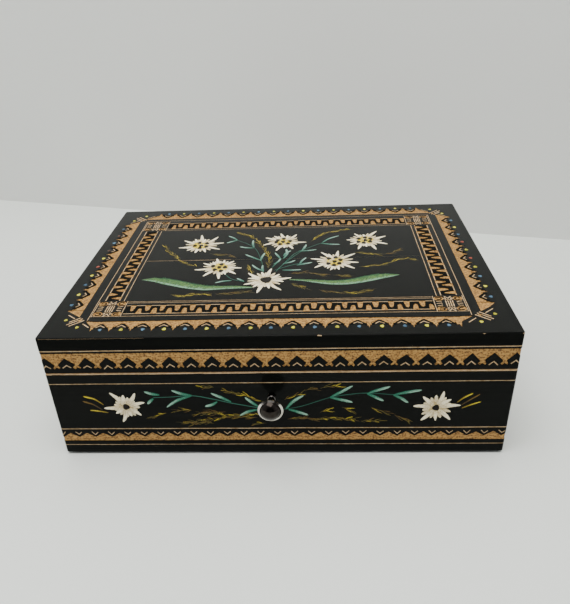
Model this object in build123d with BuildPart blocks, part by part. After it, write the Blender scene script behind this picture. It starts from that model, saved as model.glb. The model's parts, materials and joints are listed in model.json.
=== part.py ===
from build123d import *
import os
from math import radians, tan

# A lockable wooden keepsake box: a carcass of four panels, a lid of two boards on four rails,
# two butt hinges let in between the rear edges, a half-mortise lock and its key.
# Millimetres. +X runs to the right, +Y to the back and +Z up. The origin is the middle of the
# face that the box stands on, which is the underside of its felt pad.

# Carcass and lid
BOX_LENGTH = 260.0
BOX_DEPTH = 200.0
BASE_HEIGHT = 57.0
LID_HEIGHT = 22.8
SEAM_GAP = 0.2
WALL = 10.0
TOP_THICKNESS = 8.2
BOTTOM_THICKNESS = 4.0
CORNER_LAP = 5.0  # how far the side panels run into the front and back panels
BOTTOM_LAP = 5.0  # how far the bottom board runs into all four panels
PAD_THICKNESS = 1.8
PAD_INSET = 6.0
CORNER_ROUND = 1.5
TOP_EDGE_ROUND = 0.8
RIM_BEVEL = 0.8

# Wood screws with slotted, countersunk heads
HINGE_SCREW_HEAD = 1.6  # radius
HINGE_SCREW_SHANK = 0.8  # radius
HINGE_SCREW_LENGTH = 9.0
LOCK_SCREW_HEAD = 1.8  # radius
LOCK_SCREW_SHANK = 1.0  # radius
LOCK_SCREW_LENGTH = 7.5
SCREW_SLOT_WIDTH = 0.5
SCREW_SLOT_DEPTH = 0.4
SCREW_TIP_LENGTH = 1.5
SCREW_TIP_RADIUS = 0.2

# Hinges
HINGE_SPACING = 150.0
HINGE_LENGTH = 30.0
HINGE_INSET = 2.5  # from the back of the box to the hinge pins
STOP_BEVEL_ANGLE = 50.5  # the lid stops when the bevels meet, at nearly twice this angle
LEAF_THICKNESS = 1.0
LEAF_WIDTH = 6.5  # from the pin to the leaf's inner edge
KNUCKLE_RADIUS = 1.75
KNUCKLE_GAP = 0.1
PIN_RADIUS = 0.9
PIN_CLEARANCE = 0.05
KNUCKLE_CLEARANCE = 0.3
HINGE_SCREW_SPACING = 20.0
MORTISE_FIT = 0.1

# Lock plate and cap, let into the front panel from behind
KEYHOLE_X = -3.2
KEYHOLE_DROP = 16.4  # from the rim of the box to the key's axis
LOCK_SHIFT = 1.5  # from the key's axis to the middle of the lock
LOCK_PLATE_LENGTH = 50.0
LOCK_PLATE_DROP = 27.5
LOCK_PLATE_THICKNESS = 1.2
LOCK_MORTISE_DEPTH = 7.5
WORKS_LENGTH = 35.0
WORKS_DROP = 26.0
CAP_THICKNESS = 1.0
CAP_FIT = 0.2
LOCK_SCREW_SPACING = 42.0
PLATE_SCREW_DROP = 21.0
PILLAR_RADIUS = 1.0
PILLAR_SPACING = 28.0
PILLAR_RISE = 3.0  # above the bottom of the works

# Key and keyhole
BARREL_RADIUS = 2.0
KEYHOLE_CLEARANCE = 0.3
BIT_THICKNESS = 1.4
BIT_REACH = 4.4  # from the key's axis
BIT_LENGTH = 3.4
BIT_WARD = 0.8
BIT_CLEARANCE = 0.1
SHANK_STANDOUT = 13.2  # from the front of the box to the back of the key's head
HEAD_RADIUS = 7.0
HEAD_RIM = 1.0
HEAD_DOME = 4.0
HEAD_EDGE_ROUND = 0.3

# Lock works
DRILL_PIN_RADIUS = 0.95
DRILL_PIN_CLEARANCE = 0.08
DRILL_PIN_REACH = 6.0  # into the key's barrel
DRUM_RADIUS = 5.5
DRUM_CLEARANCE = 0.1
DRUM_FLOOR = 1.0
DRUM_BOSS_RADIUS = 3.0
RUNNING_CLEARANCE = 0.06
TOOTH_REACH = 8.2
TOOTH_WIDTH = 2.2
BOLT_THICKNESS = 2.0
BOLT_HEIGHT = 6.8
BOLT_TRAVEL = 6.0
BOLT_DROP = 3.4  # from the rim of the box to the top of the bolt
BOLT_TAIL = 13.0  # from the key's axis to the left end of the bolt
BOLT_HORN = 2.5
NOTCH_LEFT = 8.3  # from the key's axis at rest
NOTCH_RIGHT = 2.2
NOTCH_CLEARANCE = 0.4
NOSE_HEIGHT = 3.6
NOSE_LENGTH = 4.8
NOSE_DROP = 0.6  # below the top of the bolt
GUIDE_CLEARANCE = 0.15
GUIDE_SHIFT = 2.5
SPRING_THICKNESS = 0.4
SPRING_WIDTH = 1.8
SPRING_LENGTH = 14.0
SPRING_CLEARANCE = 0.1
SPRING_SHIFT = 4.0

# Strike plate and staple in the lid
STAPLE_GAP = 0.3  # between the thrown bolt's horn and the staple
STAPLE_THICKNESS = 1.6
STAPLE_BRIDGE = 1.2
STAPLE_SIDE_CLEARANCE = 0.35
STAPLE_SLOT_CLEARANCE = 0.3
STAPLE_RIVET_HEIGHT = 0.8
STAPLE_RIVET_LIP = 0.6
EYE_CLEARANCE = 0.3
STRIKE_LENGTH = 28.0
STRIKE_THICKNESS = 1.2
STRIKE_SCREW_SPACING = 20.0

FRONT = -1
BACK = 1

# Levels and faces that several pieces share
half_length = BOX_LENGTH / 2
half_depth = BOX_DEPTH / 2
base_bottom = PAD_THICKNESS
rim = base_bottom + BASE_HEIGHT
lid_bottom = rim + SEAM_GAP
lid_top = lid_bottom + LID_HEIGHT
rail_top = lid_top - TOP_THICKNESS
rail_height = rail_top - lid_bottom
inner_length = BOX_LENGTH - 2 * WALL
inner_depth = BOX_DEPTH - 2 * WALL
side_panel_length = inner_depth + 2 * CORNER_LAP
bottom_length = inner_length + 2 * BOTTOM_LAP
bottom_depth = inner_depth + 2 * BOTTOM_LAP

hinge_y = half_depth - HINGE_INSET
hinge_z = rim + SEAM_GAP / 2
bevel_slope = tan(radians(STOP_BEVEL_ANGLE))
bevel_start = hinge_y + SEAM_GAP / 2 / bevel_slope
bevel_drop = HINGE_INSET * bevel_slope
leaf_screw_y = hinge_y - (LEAF_WIDTH + KNUCKLE_RADIUS + KNUCKLE_CLEARANCE) / 2
knuckle_length = (HINGE_LENGTH - 2 * KNUCKLE_GAP) / 3

front_face = -half_depth
front_inner = -half_depth + WALL
key_z = rim - KEYHOLE_DROP
lock_x = KEYHOLE_X + LOCK_SHIFT
mortise_front = front_inner - LOCK_MORTISE_DEPTH
plate_front = front_inner - LOCK_PLATE_THICKNESS
cap_front = mortise_front + CAP_FIT
cap_back = cap_front + CAP_THICKNESS
works_middle = (cap_back + plate_front) / 2
works_bottom = rim - WORKS_DROP
flange_bottom = rim - LOCK_PLATE_THICKNESS
flange_middle = (mortise_front + front_inner) / 2

bolt_top = rim - BOLT_DROP
bolt_bottom = bolt_top - BOLT_HEIGHT
horn_right = NOTCH_RIGHT + BOLT_HORN
nose_top = bolt_top - NOSE_DROP
nose_bottom = nose_top - NOSE_HEIGHT
staple_x = KEYHOLE_X + horn_right + BOLT_TRAVEL + STAPLE_GAP + STAPLE_THICKNESS / 2
staple_width = plate_front - cap_back - 2 * STAPLE_SIDE_CLEARANCE
eye_top = nose_top + EYE_CLEARANCE
eye_bottom = nose_bottom - EYE_CLEARANCE
staple_bottom = eye_bottom - STAPLE_BRIDGE
eye_width = BOLT_THICKNESS + 2 * EYE_CLEARANCE
staple_slot_length = STAPLE_THICKNESS + 2 * STAPLE_SLOT_CLEARANCE
staple_slot_width = staple_width + 2 * STAPLE_SLOT_CLEARANCE

drum_front = cap_back + DRUM_CLEARANCE
drum_back = plate_front - DRUM_CLEARANCE
drum_floor = drum_back - DRUM_FLOOR
boss_back = front_inner - DRUM_CLEARANCE
barrel_end = drum_floor - DRUM_CLEARANCE
head_back = front_face - SHANK_STANDOUT

# Places of the screws, each a plane on the screw's head that faces out of the wood
hinge_places = {"left": -HINGE_SPACING / 2, "right": HINGE_SPACING / 2}


def leaf_face_level(side):
    """Level of the face that a hinge leaf turns to the seam, above (1) or below (-1) it."""
    return rim if side < 0 else lid_bottom


def leaf_screw_planes(hinge_x, side):
    """The two screws of one leaf, above (1) or below (-1) the seam."""
    planes = []
    for screw_x in (hinge_x - HINGE_SCREW_SPACING / 2, hinge_x + HINGE_SCREW_SPACING / 2):
        origin = (screw_x, leaf_screw_y, leaf_face_level(side))
        planes.append(Plane(origin, x_dir=(1, 0, 0), z_dir=(0, 0, -side)))
    return planes


base_hinge_screw_planes = []
lid_hinge_screw_planes = []
for hinge_x in hinge_places.values():
    base_hinge_screw_planes.extend(leaf_screw_planes(hinge_x, -1))
    lid_hinge_screw_planes.extend(leaf_screw_planes(hinge_x, 1))

lock_screw_planes = []
strike_screw_planes = []
for side in (-1, 1):
    screw_x = lock_x + side * LOCK_SCREW_SPACING / 2
    lock_screw_planes.append(Plane((screw_x, flange_middle, rim), x_dir=(1, 0, 0), z_dir=(0, 0, 1)))
    lock_screw_planes.append(
        Plane((screw_x, front_inner, rim - PLATE_SCREW_DROP), x_dir=(1, 0, 0), z_dir=(0, 1, 0))
    )
    screw_x = staple_x + side * STRIKE_SCREW_SPACING / 2
    strike_screw_planes.append(
        Plane((screw_x, flange_middle, lid_bottom), x_dir=(1, 0, 0), z_dir=(0, 0, -1))
    )


def long_panel_outline(z, side):
    """Plan of a front or back panel: round outer corners, and a rabbet at each end for a side panel."""
    with BuildSketch(Plane.XY.offset(z)) as outline:
        with Locations((0, side * (half_depth - WALL / 2))):
            Rectangle(BOX_LENGTH, WALL)
        outer_corners = outline.vertices().sort_by(Axis.Y, reverse=side == BACK)[:2]
        fillet(outer_corners, CORNER_ROUND)
        rabbet_x = half_length - WALL / 2
        rabbet_y = side * (half_depth - WALL + CORNER_LAP / 2)
        with Locations((-rabbet_x, rabbet_y), (rabbet_x, rabbet_y)):
            Rectangle(WALL, CORNER_LAP, mode=Mode.SUBTRACT)
    return outline.sketch


def side_panel_outline(z):
    """Plan of the right side panel or rail."""
    with BuildSketch(Plane.XY.offset(z)) as outline:
        with Locations((half_length - WALL / 2, 0)):
            Rectangle(WALL, side_panel_length)
    return outline.sketch


def bottom_recess_outline():
    """Plan of the bottom board and of the rabbet that it lies in."""
    with BuildSketch(Plane.XY.offset(base_bottom)) as outline:
        Rectangle(bottom_length, bottom_depth)
    return outline.sketch


def top_board_outline(side):
    """Plan of one of the lid's two boards, which meet along the middle of the lid."""
    with BuildSketch(Plane.XY.offset(rail_top)) as outline:
        with Locations((0, side * half_depth / 2)):
            Rectangle(BOX_LENGTH, half_depth)
        outer_corners = outline.vertices().sort_by(Axis.Y, reverse=side == BACK)[:2]
        fillet(outer_corners, CORNER_ROUND)
    return outline.sketch


def stop_bevel_outline(side):
    """Section of what the stop bevel takes off the back, above (1) or below (-1) the hinge pins."""
    outer_z = hinge_z + side * bevel_drop
    with BuildSketch(Plane.YZ) as outline:
        with BuildLine():
            Polyline((hinge_y, hinge_z), (half_depth, outer_z), (half_depth + WALL, outer_z),
                     (half_depth + WALL, hinge_z), close=True)
        make_face()
    return outline.sketch


def leaf_recess(hinge_x, side):
    """Room for one leaf and its knuckles, above (1) or below (-1) the seam."""
    recess_length = HINGE_LENGTH + 2 * MORTISE_FIT
    with BuildPart() as recess:
        with BuildSketch(Plane.XY.offset(leaf_face_level(side))):
            with Locations((hinge_x, hinge_y - LEAF_WIDTH / 2 - MORTISE_FIT / 2)):
                Rectangle(recess_length, LEAF_WIDTH + MORTISE_FIT)
        extrude(amount=side * LEAF_THICKNESS)
        with BuildSketch(Plane.YZ.offset(hinge_x)):
            with Locations((hinge_y, hinge_z)):
                Circle(KNUCKLE_RADIUS + KNUCKLE_CLEARANCE)
        extrude(amount=recess_length / 2, both=True)
    return recess.part


def leaf_plate(hinge_x, side):
    """The flat of one leaf, cut back to clear the other leaf's knuckles."""
    flat_width = LEAF_WIDTH - KNUCKLE_RADIUS - KNUCKLE_CLEARANCE
    with BuildPart() as plate:
        with BuildSketch(Plane.XY.offset(leaf_face_level(side))):
            with Locations((hinge_x, hinge_y - LEAF_WIDTH + flat_width / 2)):
                Rectangle(HINGE_LENGTH, flat_width)
        extrude(amount=side * LEAF_THICKNESS)
    return plate.part


def leaf_knuckle(middle_x, side):
    """One knuckle with the strip that joins it to the flat of its leaf."""
    strip_middle = leaf_face_level(side) + side * LEAF_THICKNESS / 2
    with BuildPart() as knuckle:
        with BuildSketch(Plane.YZ.offset(middle_x)):
            with Locations((hinge_y, hinge_z)):
                Circle(KNUCKLE_RADIUS)
            with Locations((hinge_y - LEAF_WIDTH / 2, strip_middle)):
                Rectangle(LEAF_WIDTH, LEAF_THICKNESS)
            with Locations((hinge_y, hinge_z)):
                Circle(PIN_RADIUS + PIN_CLEARANCE, mode=Mode.SUBTRACT)
        extrude(amount=knuckle_length / 2, both=True)
    return knuckle.part


def wood_screw(head_radius, shank_radius, length):
    """A slotted wood screw that points down from the origin, without its thread."""
    with BuildPart() as screw:
        with BuildSketch(Plane.XZ):
            with BuildLine():
                Polyline((0, 0), (head_radius, 0), (shank_radius, shank_radius - head_radius),
                         (shank_radius, SCREW_TIP_LENGTH - length), (SCREW_TIP_RADIUS, -length),
                         (0, -length), close=True)
            make_face()
        revolve(axis=Axis.Z)
        with BuildSketch(Plane.XY):
            Rectangle(2 * head_radius, SCREW_SLOT_WIDTH)
        extrude(amount=-SCREW_SLOT_DEPTH, mode=Mode.SUBTRACT)
    return screw.part


def keyhole_outline(y):
    """Section of the keyhole, a round hole with a slot below it for the key's bit."""
    slot_width = BIT_THICKNESS + 2 * KEYHOLE_CLEARANCE
    slot_depth = BIT_REACH + KEYHOLE_CLEARANCE
    with BuildSketch(Plane.XZ.offset(-y)) as outline:
        with Locations((KEYHOLE_X, key_z)):
            Circle(BARREL_RADIUS + KEYHOLE_CLEARANCE)
        with Locations((KEYHOLE_X, key_z - slot_depth / 2)):
            Rectangle(slot_width, slot_depth)
    return outline.sketch


hinge_screw = wood_screw(HINGE_SCREW_HEAD, HINGE_SCREW_SHANK, HINGE_SCREW_LENGTH)
lock_screw = wood_screw(LOCK_SCREW_HEAD, LOCK_SCREW_SHANK, LOCK_SCREW_LENGTH)

# Base: the front panel, with a bevelled rim, the lock's mortise and the keyhole
with BuildPart() as base_front_panel:
    extrude(long_panel_outline(base_bottom, FRONT), amount=BASE_HEIGHT)
    rim_edges = base_front_panel.faces().sort_by(Axis.Z)[-1].edges()
    outer_edges = rim_edges.filter_by(lambda e: e.center().Y < front_inner - CORNER_LAP - 0.01)
    chamfer(outer_edges, RIM_BEVEL)
    extrude(bottom_recess_outline(), amount=BOTTOM_THICKNESS, mode=Mode.SUBTRACT)
    with BuildSketch(Plane.XZ.offset(-front_inner)):
        with Locations((lock_x, rim - LOCK_PLATE_DROP / 2)):
            Rectangle(LOCK_PLATE_LENGTH, LOCK_PLATE_DROP)
    extrude(amount=LOCK_PLATE_THICKNESS, mode=Mode.SUBTRACT)
    with BuildSketch(Plane.XZ.offset(-front_inner)):
        with Locations((lock_x, rim - LOCK_PLATE_THICKNESS / 2)):
            Rectangle(LOCK_PLATE_LENGTH, LOCK_PLATE_THICKNESS)
        with Locations((lock_x, rim - WORKS_DROP / 2)):
            Rectangle(WORKS_LENGTH, WORKS_DROP)
    extrude(amount=LOCK_MORTISE_DEPTH, mode=Mode.SUBTRACT)
    extrude(keyhole_outline(mortise_front), amount=WALL - LOCK_MORTISE_DEPTH, mode=Mode.SUBTRACT)
    with Locations(*lock_screw_planes):
        Hole(radius=LOCK_SCREW_SHANK, depth=LOCK_SCREW_LENGTH)

# Base: the back panel, with the stop bevel and the hinge mortises
with BuildPart() as base_back_panel:
    extrude(long_panel_outline(base_bottom, BACK), amount=BASE_HEIGHT)
    extrude(bottom_recess_outline(), amount=BOTTOM_THICKNESS, mode=Mode.SUBTRACT)
    extrude(stop_bevel_outline(-1), amount=half_length, both=True, mode=Mode.SUBTRACT)
    for hinge_x in hinge_places.values():
        add(leaf_recess(hinge_x, -1), mode=Mode.SUBTRACT)
    with Locations(*base_hinge_screw_planes):
        Hole(radius=HINGE_SCREW_SHANK, depth=HINGE_SCREW_LENGTH)

with BuildPart() as base_right_panel:
    extrude(side_panel_outline(base_bottom), amount=BASE_HEIGHT)
    rim_edges = base_right_panel.faces().sort_by(Axis.Z)[-1].edges()
    chamfer(rim_edges.sort_by(Axis.X)[-1], RIM_BEVEL)
    extrude(bottom_recess_outline(), amount=BOTTOM_THICKNESS, mode=Mode.SUBTRACT)

with BuildPart() as base_left_panel:
    mirror(base_right_panel.part, about=Plane.YZ)

with BuildPart() as bottom_board:
    extrude(bottom_recess_outline(), amount=BOTTOM_THICKNESS)

with BuildPart() as base_pad:
    with BuildSketch():
        Rectangle(BOX_LENGTH - 2 * PAD_INSET, BOX_DEPTH - 2 * PAD_INSET)
    extrude(amount=PAD_THICKNESS)

# Lid: two boards glued edge to edge, on four rails
with BuildPart() as lid_top_front_board:
    extrude(top_board_outline(FRONT), amount=TOP_THICKNESS)
    top_edges = lid_top_front_board.faces().sort_by(Axis.Z)[-1].edges()
    fillet(top_edges.sort_by(Axis.Y)[:-1], TOP_EDGE_ROUND)

with BuildPart() as lid_top_rear_board:
    mirror(lid_top_front_board.part, about=Plane.XZ)

with BuildPart() as lid_front_rail:
    extrude(long_panel_outline(lid_bottom, FRONT), amount=rail_height)
    with BuildSketch(Plane.XY.offset(lid_bottom)):
        with Locations((staple_x, flange_middle)):
            Rectangle(STRIKE_LENGTH, LOCK_MORTISE_DEPTH)
    extrude(amount=STRIKE_THICKNESS, mode=Mode.SUBTRACT)
    with BuildSketch(Plane.XY.offset(lid_bottom + STRIKE_THICKNESS)):
        with Locations((staple_x, works_middle)):
            Rectangle(STAPLE_THICKNESS + 2 * STAPLE_RIVET_LIP, staple_width)
    extrude(amount=STAPLE_RIVET_HEIGHT, mode=Mode.SUBTRACT)
    with Locations(*strike_screw_planes):
        Hole(radius=LOCK_SCREW_SHANK, depth=LOCK_SCREW_LENGTH)

with BuildPart() as lid_back_rail:
    extrude(long_panel_outline(lid_bottom, BACK), amount=rail_height)
    extrude(stop_bevel_outline(1), amount=half_length, both=True, mode=Mode.SUBTRACT)
    for hinge_x in hinge_places.values():
        add(leaf_recess(hinge_x, 1), mode=Mode.SUBTRACT)
    with Locations(*lid_hinge_screw_planes):
        Hole(radius=HINGE_SCREW_SHANK, depth=HINGE_SCREW_LENGTH)

with BuildPart() as lid_right_rail:
    extrude(side_panel_outline(lid_bottom), amount=rail_height)

with BuildPart() as lid_left_rail:
    mirror(lid_right_rail.part, about=Plane.YZ)

# Hinges: the base leaf has the two outer knuckles, the lid leaf the middle one
hinges = {}
outer_knuckle = knuckle_length + KNUCKLE_GAP
for name, hinge_x in hinge_places.items():
    with BuildPart() as base_leaf:
        add(leaf_plate(hinge_x, -1))
        add(leaf_knuckle(hinge_x - outer_knuckle, -1))
        add(leaf_knuckle(hinge_x + outer_knuckle, -1))
        with Locations(*leaf_screw_planes(hinge_x, -1)):
            CounterSinkHole(HINGE_SCREW_SHANK, HINGE_SCREW_HEAD, LEAF_THICKNESS, 90)
    with BuildPart() as lid_leaf:
        add(leaf_plate(hinge_x, 1))
        add(leaf_knuckle(hinge_x, 1))
        with Locations(*leaf_screw_planes(hinge_x, 1)):
            CounterSinkHole(HINGE_SCREW_SHANK, HINGE_SCREW_HEAD, LEAF_THICKNESS, 90)
    with BuildPart() as hinge_pin:
        with BuildSketch(Plane.YZ.offset(hinge_x)):
            with Locations((hinge_y, hinge_z)):
                Circle(PIN_RADIUS)
        extrude(amount=HINGE_LENGTH / 2, both=True)
    hinges[f"{name}_hinge_base_leaf"] = base_leaf
    hinges[f"{name}_hinge_lid_leaf"] = lid_leaf
    hinges[f"{name}_hinge_pin"] = hinge_pin

with BuildPart() as base_hinge_screws:
    with Locations(*base_hinge_screw_planes):
        add(hinge_screw)

with BuildPart() as lid_hinge_screws:
    with Locations(*lid_hinge_screw_planes):
        add(hinge_screw)

# Lock: a plate bent over at the top, which shows in the rim, and a cap that faces the wood
pillar_z = works_bottom + PILLAR_RISE
guide_x = KEYHOLE_X - GUIDE_SHIFT
guide_z = bolt_top - NOSE_DROP - PILLAR_RADIUS - 2 * GUIDE_CLEARANCE
pillar_places = [
    (lock_x - PILLAR_SPACING / 2, pillar_z),
    (lock_x + PILLAR_SPACING / 2, pillar_z),
    (guide_x, guide_z),
]

with BuildPart() as lock_plate:
    with BuildSketch(Plane.XZ.offset(-front_inner)):
        with Locations((lock_x, rim - LOCK_PLATE_DROP / 2)):
            Rectangle(LOCK_PLATE_LENGTH, LOCK_PLATE_DROP)
        with Locations(*pillar_places):
            Circle(PILLAR_RADIUS, mode=Mode.SUBTRACT)
        with Locations((KEYHOLE_X, key_z)):
            Circle(DRUM_BOSS_RADIUS + RUNNING_CLEARANCE, mode=Mode.SUBTRACT)
    extrude(amount=LOCK_PLATE_THICKNESS)
    with BuildSketch(Plane.XY.offset(rim)):
        with Locations((lock_x, flange_middle)):
            Rectangle(LOCK_PLATE_LENGTH, LOCK_MORTISE_DEPTH)
        with Locations((staple_x, works_middle)):
            Rectangle(staple_slot_length, staple_slot_width, mode=Mode.SUBTRACT)
    extrude(amount=-LOCK_PLATE_THICKNESS)
    with Locations(*lock_screw_planes):
        CounterSinkHole(LOCK_SCREW_SHANK, LOCK_SCREW_HEAD, LOCK_PLATE_THICKNESS, 90)

with BuildPart() as lock_cap:
    with BuildSketch(Plane.XZ.offset(-cap_back)):
        with Locations((lock_x, (works_bottom + CAP_FIT + flange_bottom) / 2)):
            Rectangle(WORKS_LENGTH - 2 * CAP_FIT, flange_bottom - works_bottom - CAP_FIT)
        with Locations(*pillar_places):
            Circle(PILLAR_RADIUS, mode=Mode.SUBTRACT)
    extrude(amount=CAP_THICKNESS)
    extrude(keyhole_outline(cap_back), amount=CAP_THICKNESS, mode=Mode.SUBTRACT)

with BuildPart() as lock_pillars:
    with BuildSketch(Plane.XZ.offset(-front_inner)):
        with Locations(*pillar_places):
            Circle(PILLAR_RADIUS)
    extrude(amount=front_inner - cap_front)

with BuildPart() as lock_bolt:
    with BuildSketch(Plane.XZ.offset(-works_middle)):
        with BuildLine():
            Polyline(
                (KEYHOLE_X - BOLT_TAIL, bolt_top),
                (KEYHOLE_X + horn_right, bolt_top),
                (KEYHOLE_X + horn_right, nose_top),
                (KEYHOLE_X + horn_right + NOSE_LENGTH, nose_top),
                (KEYHOLE_X + horn_right + NOSE_LENGTH, nose_bottom),
                (KEYHOLE_X + horn_right, nose_bottom),
                (KEYHOLE_X + horn_right, bolt_bottom),
                (KEYHOLE_X + NOTCH_RIGHT, bolt_bottom),
                (KEYHOLE_X + NOTCH_RIGHT, key_z + TOOTH_REACH + NOTCH_CLEARANCE),
                (KEYHOLE_X - NOTCH_LEFT, key_z + TOOTH_REACH + NOTCH_CLEARANCE),
                (KEYHOLE_X - NOTCH_LEFT, bolt_bottom),
                (KEYHOLE_X - BOLT_TAIL, bolt_bottom),
                close=True,
            )
        make_face()
        guide_half = PILLAR_RADIUS + GUIDE_CLEARANCE
        with Locations((guide_x - BOLT_TRAVEL / 2, guide_z)):
            SlotOverall(BOLT_TRAVEL + 2 * guide_half, 2 * guide_half, mode=Mode.SUBTRACT)
    extrude(amount=BOLT_THICKNESS / 2, both=True)

with BuildPart() as bolt_spring:
    spring_left = KEYHOLE_X - SPRING_SHIFT - SPRING_LENGTH / 2
    spring_middle = KEYHOLE_X - SPRING_SHIFT
    spring_right = KEYHOLE_X - SPRING_SHIFT + SPRING_LENGTH / 2
    spring_low = bolt_top + SPRING_CLEARANCE
    with BuildSketch(Plane.XZ.offset(-works_middle)):
        with BuildLine():
            lower_arc = ThreePointArc(
                (spring_left, flange_bottom - SPRING_THICKNESS),
                (spring_middle, spring_low),
                (spring_right, flange_bottom - SPRING_THICKNESS),
            )
            upper_arc = ThreePointArc(
                (spring_left, flange_bottom),
                (spring_middle, spring_low + SPRING_THICKNESS),
                (spring_right, flange_bottom),
            )
            Line(lower_arc @ 0, upper_arc @ 0)
            Line(lower_arc @ 1, upper_arc @ 1)
        make_face()
    extrude(amount=SPRING_WIDTH / 2, both=True)

with BuildPart() as lock_screws:
    with Locations(*lock_screw_planes):
        add(lock_screw)

# Lock: the drum that the key turns, with its tooth down at rest, and the pin in its middle
with BuildPart() as lock_drum:
    with BuildSketch(Plane.XZ.offset(-drum_back)):
        with Locations((KEYHOLE_X, key_z)):
            Circle(DRUM_RADIUS)
    extrude(amount=drum_back - drum_front)
    with BuildSketch(Plane.XZ.offset(-works_middle)):
        with Locations((KEYHOLE_X, key_z - TOOTH_REACH / 2)):
            Rectangle(TOOTH_WIDTH, TOOTH_REACH)
    extrude(amount=BOLT_THICKNESS / 2, both=True)
    with BuildSketch(Plane.XZ.offset(-boss_back)):
        with Locations((KEYHOLE_X, key_z)):
            Circle(DRUM_BOSS_RADIUS)
    extrude(amount=boss_back - drum_back)
    with BuildSketch(Plane.XZ.offset(-drum_floor)):
        with Locations((KEYHOLE_X, key_z)):
            Circle(BARREL_RADIUS + RUNNING_CLEARANCE)
        slot_reach = BIT_REACH + BIT_CLEARANCE
        with Locations((KEYHOLE_X, key_z - slot_reach / 2)):
            Rectangle(BIT_THICKNESS + 2 * BIT_CLEARANCE, slot_reach)
    extrude(amount=drum_floor - drum_front, mode=Mode.SUBTRACT)
    with BuildSketch(Plane.XZ.offset(-boss_back)):
        with Locations((KEYHOLE_X, key_z)):
            Circle(DRILL_PIN_RADIUS)
    extrude(amount=boss_back - drum_floor, mode=Mode.SUBTRACT)

with BuildPart() as drill_pin:
    with BuildSketch(Plane.XZ.offset(-boss_back)):
        with Locations((KEYHOLE_X, key_z)):
            Circle(DRILL_PIN_RADIUS)
    extrude(amount=boss_back - barrel_end + DRILL_PIN_REACH)

# Lid side of the lock
with BuildPart() as strike_plate:
    with BuildSketch(Plane.XY.offset(lid_bottom)):
        with Locations((staple_x, flange_middle)):
            Rectangle(STRIKE_LENGTH, LOCK_MORTISE_DEPTH)
        with Locations((staple_x, works_middle)):
            Rectangle(STAPLE_THICKNESS, staple_width, mode=Mode.SUBTRACT)
    extrude(amount=STRIKE_THICKNESS)
    with Locations(*strike_screw_planes):
        CounterSinkHole(LOCK_SCREW_SHANK, LOCK_SCREW_HEAD, STRIKE_THICKNESS, 90)

with BuildPart() as strike_staple:
    with BuildSketch(Plane.YZ.offset(staple_x)):
        staple_height = lid_bottom + STRIKE_THICKNESS - staple_bottom
        with Locations((works_middle, staple_bottom + staple_height / 2)):
            Rectangle(staple_width, staple_height)
        with Locations((works_middle, (eye_bottom + eye_top) / 2)):
            Rectangle(eye_width, eye_top - eye_bottom, mode=Mode.SUBTRACT)
    extrude(amount=STAPLE_THICKNESS / 2, both=True)
    with BuildSketch(Plane.XY.offset(lid_bottom + STRIKE_THICKNESS)):
        with Locations((staple_x, works_middle)):
            Rectangle(STAPLE_THICKNESS + 2 * STAPLE_RIVET_LIP, staple_width)
    extrude(amount=STAPLE_RIVET_HEIGHT)

with BuildPart() as strike_screws:
    with Locations(*strike_screw_planes):
        add(lock_screw)

# Key: a hollow barrel with its bit down at rest, and a domed head
with BuildPart() as key_shank:
    with BuildSketch(Plane.XZ.offset(-barrel_end)):
        with Locations((KEYHOLE_X, key_z)):
            Circle(BARREL_RADIUS)
    extrude(amount=barrel_end - head_back)
    with BuildSketch(Plane.XZ.offset(-barrel_end)):
        with Locations((KEYHOLE_X, key_z)):
            Circle(DRILL_PIN_RADIUS + DRILL_PIN_CLEARANCE)
    extrude(amount=DRILL_PIN_REACH + DRUM_CLEARANCE, mode=Mode.SUBTRACT)

with BuildPart() as key_bit:
    with BuildSketch(Plane.XZ.offset(-barrel_end)):
        with Locations((KEYHOLE_X, key_z - BIT_REACH / 2)):
            Rectangle(BIT_THICKNESS, BIT_REACH)
        with Locations((KEYHOLE_X, key_z)):
            Circle(BARREL_RADIUS, mode=Mode.SUBTRACT)
    extrude(amount=BIT_LENGTH)
    with BuildSketch(Plane.XZ.offset(-barrel_end + BIT_LENGTH / 2)):
        with Locations((KEYHOLE_X, key_z - BIT_REACH)):
            Rectangle(BIT_THICKNESS, 2 * BIT_WARD)
    extrude(amount=BIT_WARD / 2, both=True, mode=Mode.SUBTRACT)

with BuildPart() as key_head:
    dome_radius = (HEAD_RADIUS**2 + HEAD_DOME**2) / (2 * HEAD_DOME)
    rim_front = head_back - HEAD_RIM
    dome_middle = rim_front - HEAD_DOME + dome_radius - (dome_radius**2 - (HEAD_RADIUS / 2) ** 2) ** 0.5
    with BuildSketch(Plane.XY.offset(key_z)):
        with BuildLine():
            Line((KEYHOLE_X, head_back), (KEYHOLE_X + HEAD_RADIUS, head_back))
            Line((KEYHOLE_X + HEAD_RADIUS, head_back), (KEYHOLE_X + HEAD_RADIUS, rim_front))
            ThreePointArc(
                (KEYHOLE_X + HEAD_RADIUS, rim_front),
                (KEYHOLE_X + HEAD_RADIUS / 2, dome_middle),
                (KEYHOLE_X, rim_front - HEAD_DOME),
            )
            Line((KEYHOLE_X, rim_front - HEAD_DOME), (KEYHOLE_X, head_back))
        make_face()
    revolve(axis=Axis((KEYHOLE_X, 0, key_z), (0, 1, 0)))
    back_edge = key_head.edges().filter_by(GeomType.CIRCLE).sort_by(Axis.Y)[-1]
    fillet(back_edge, HEAD_EDGE_ROUND)

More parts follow.
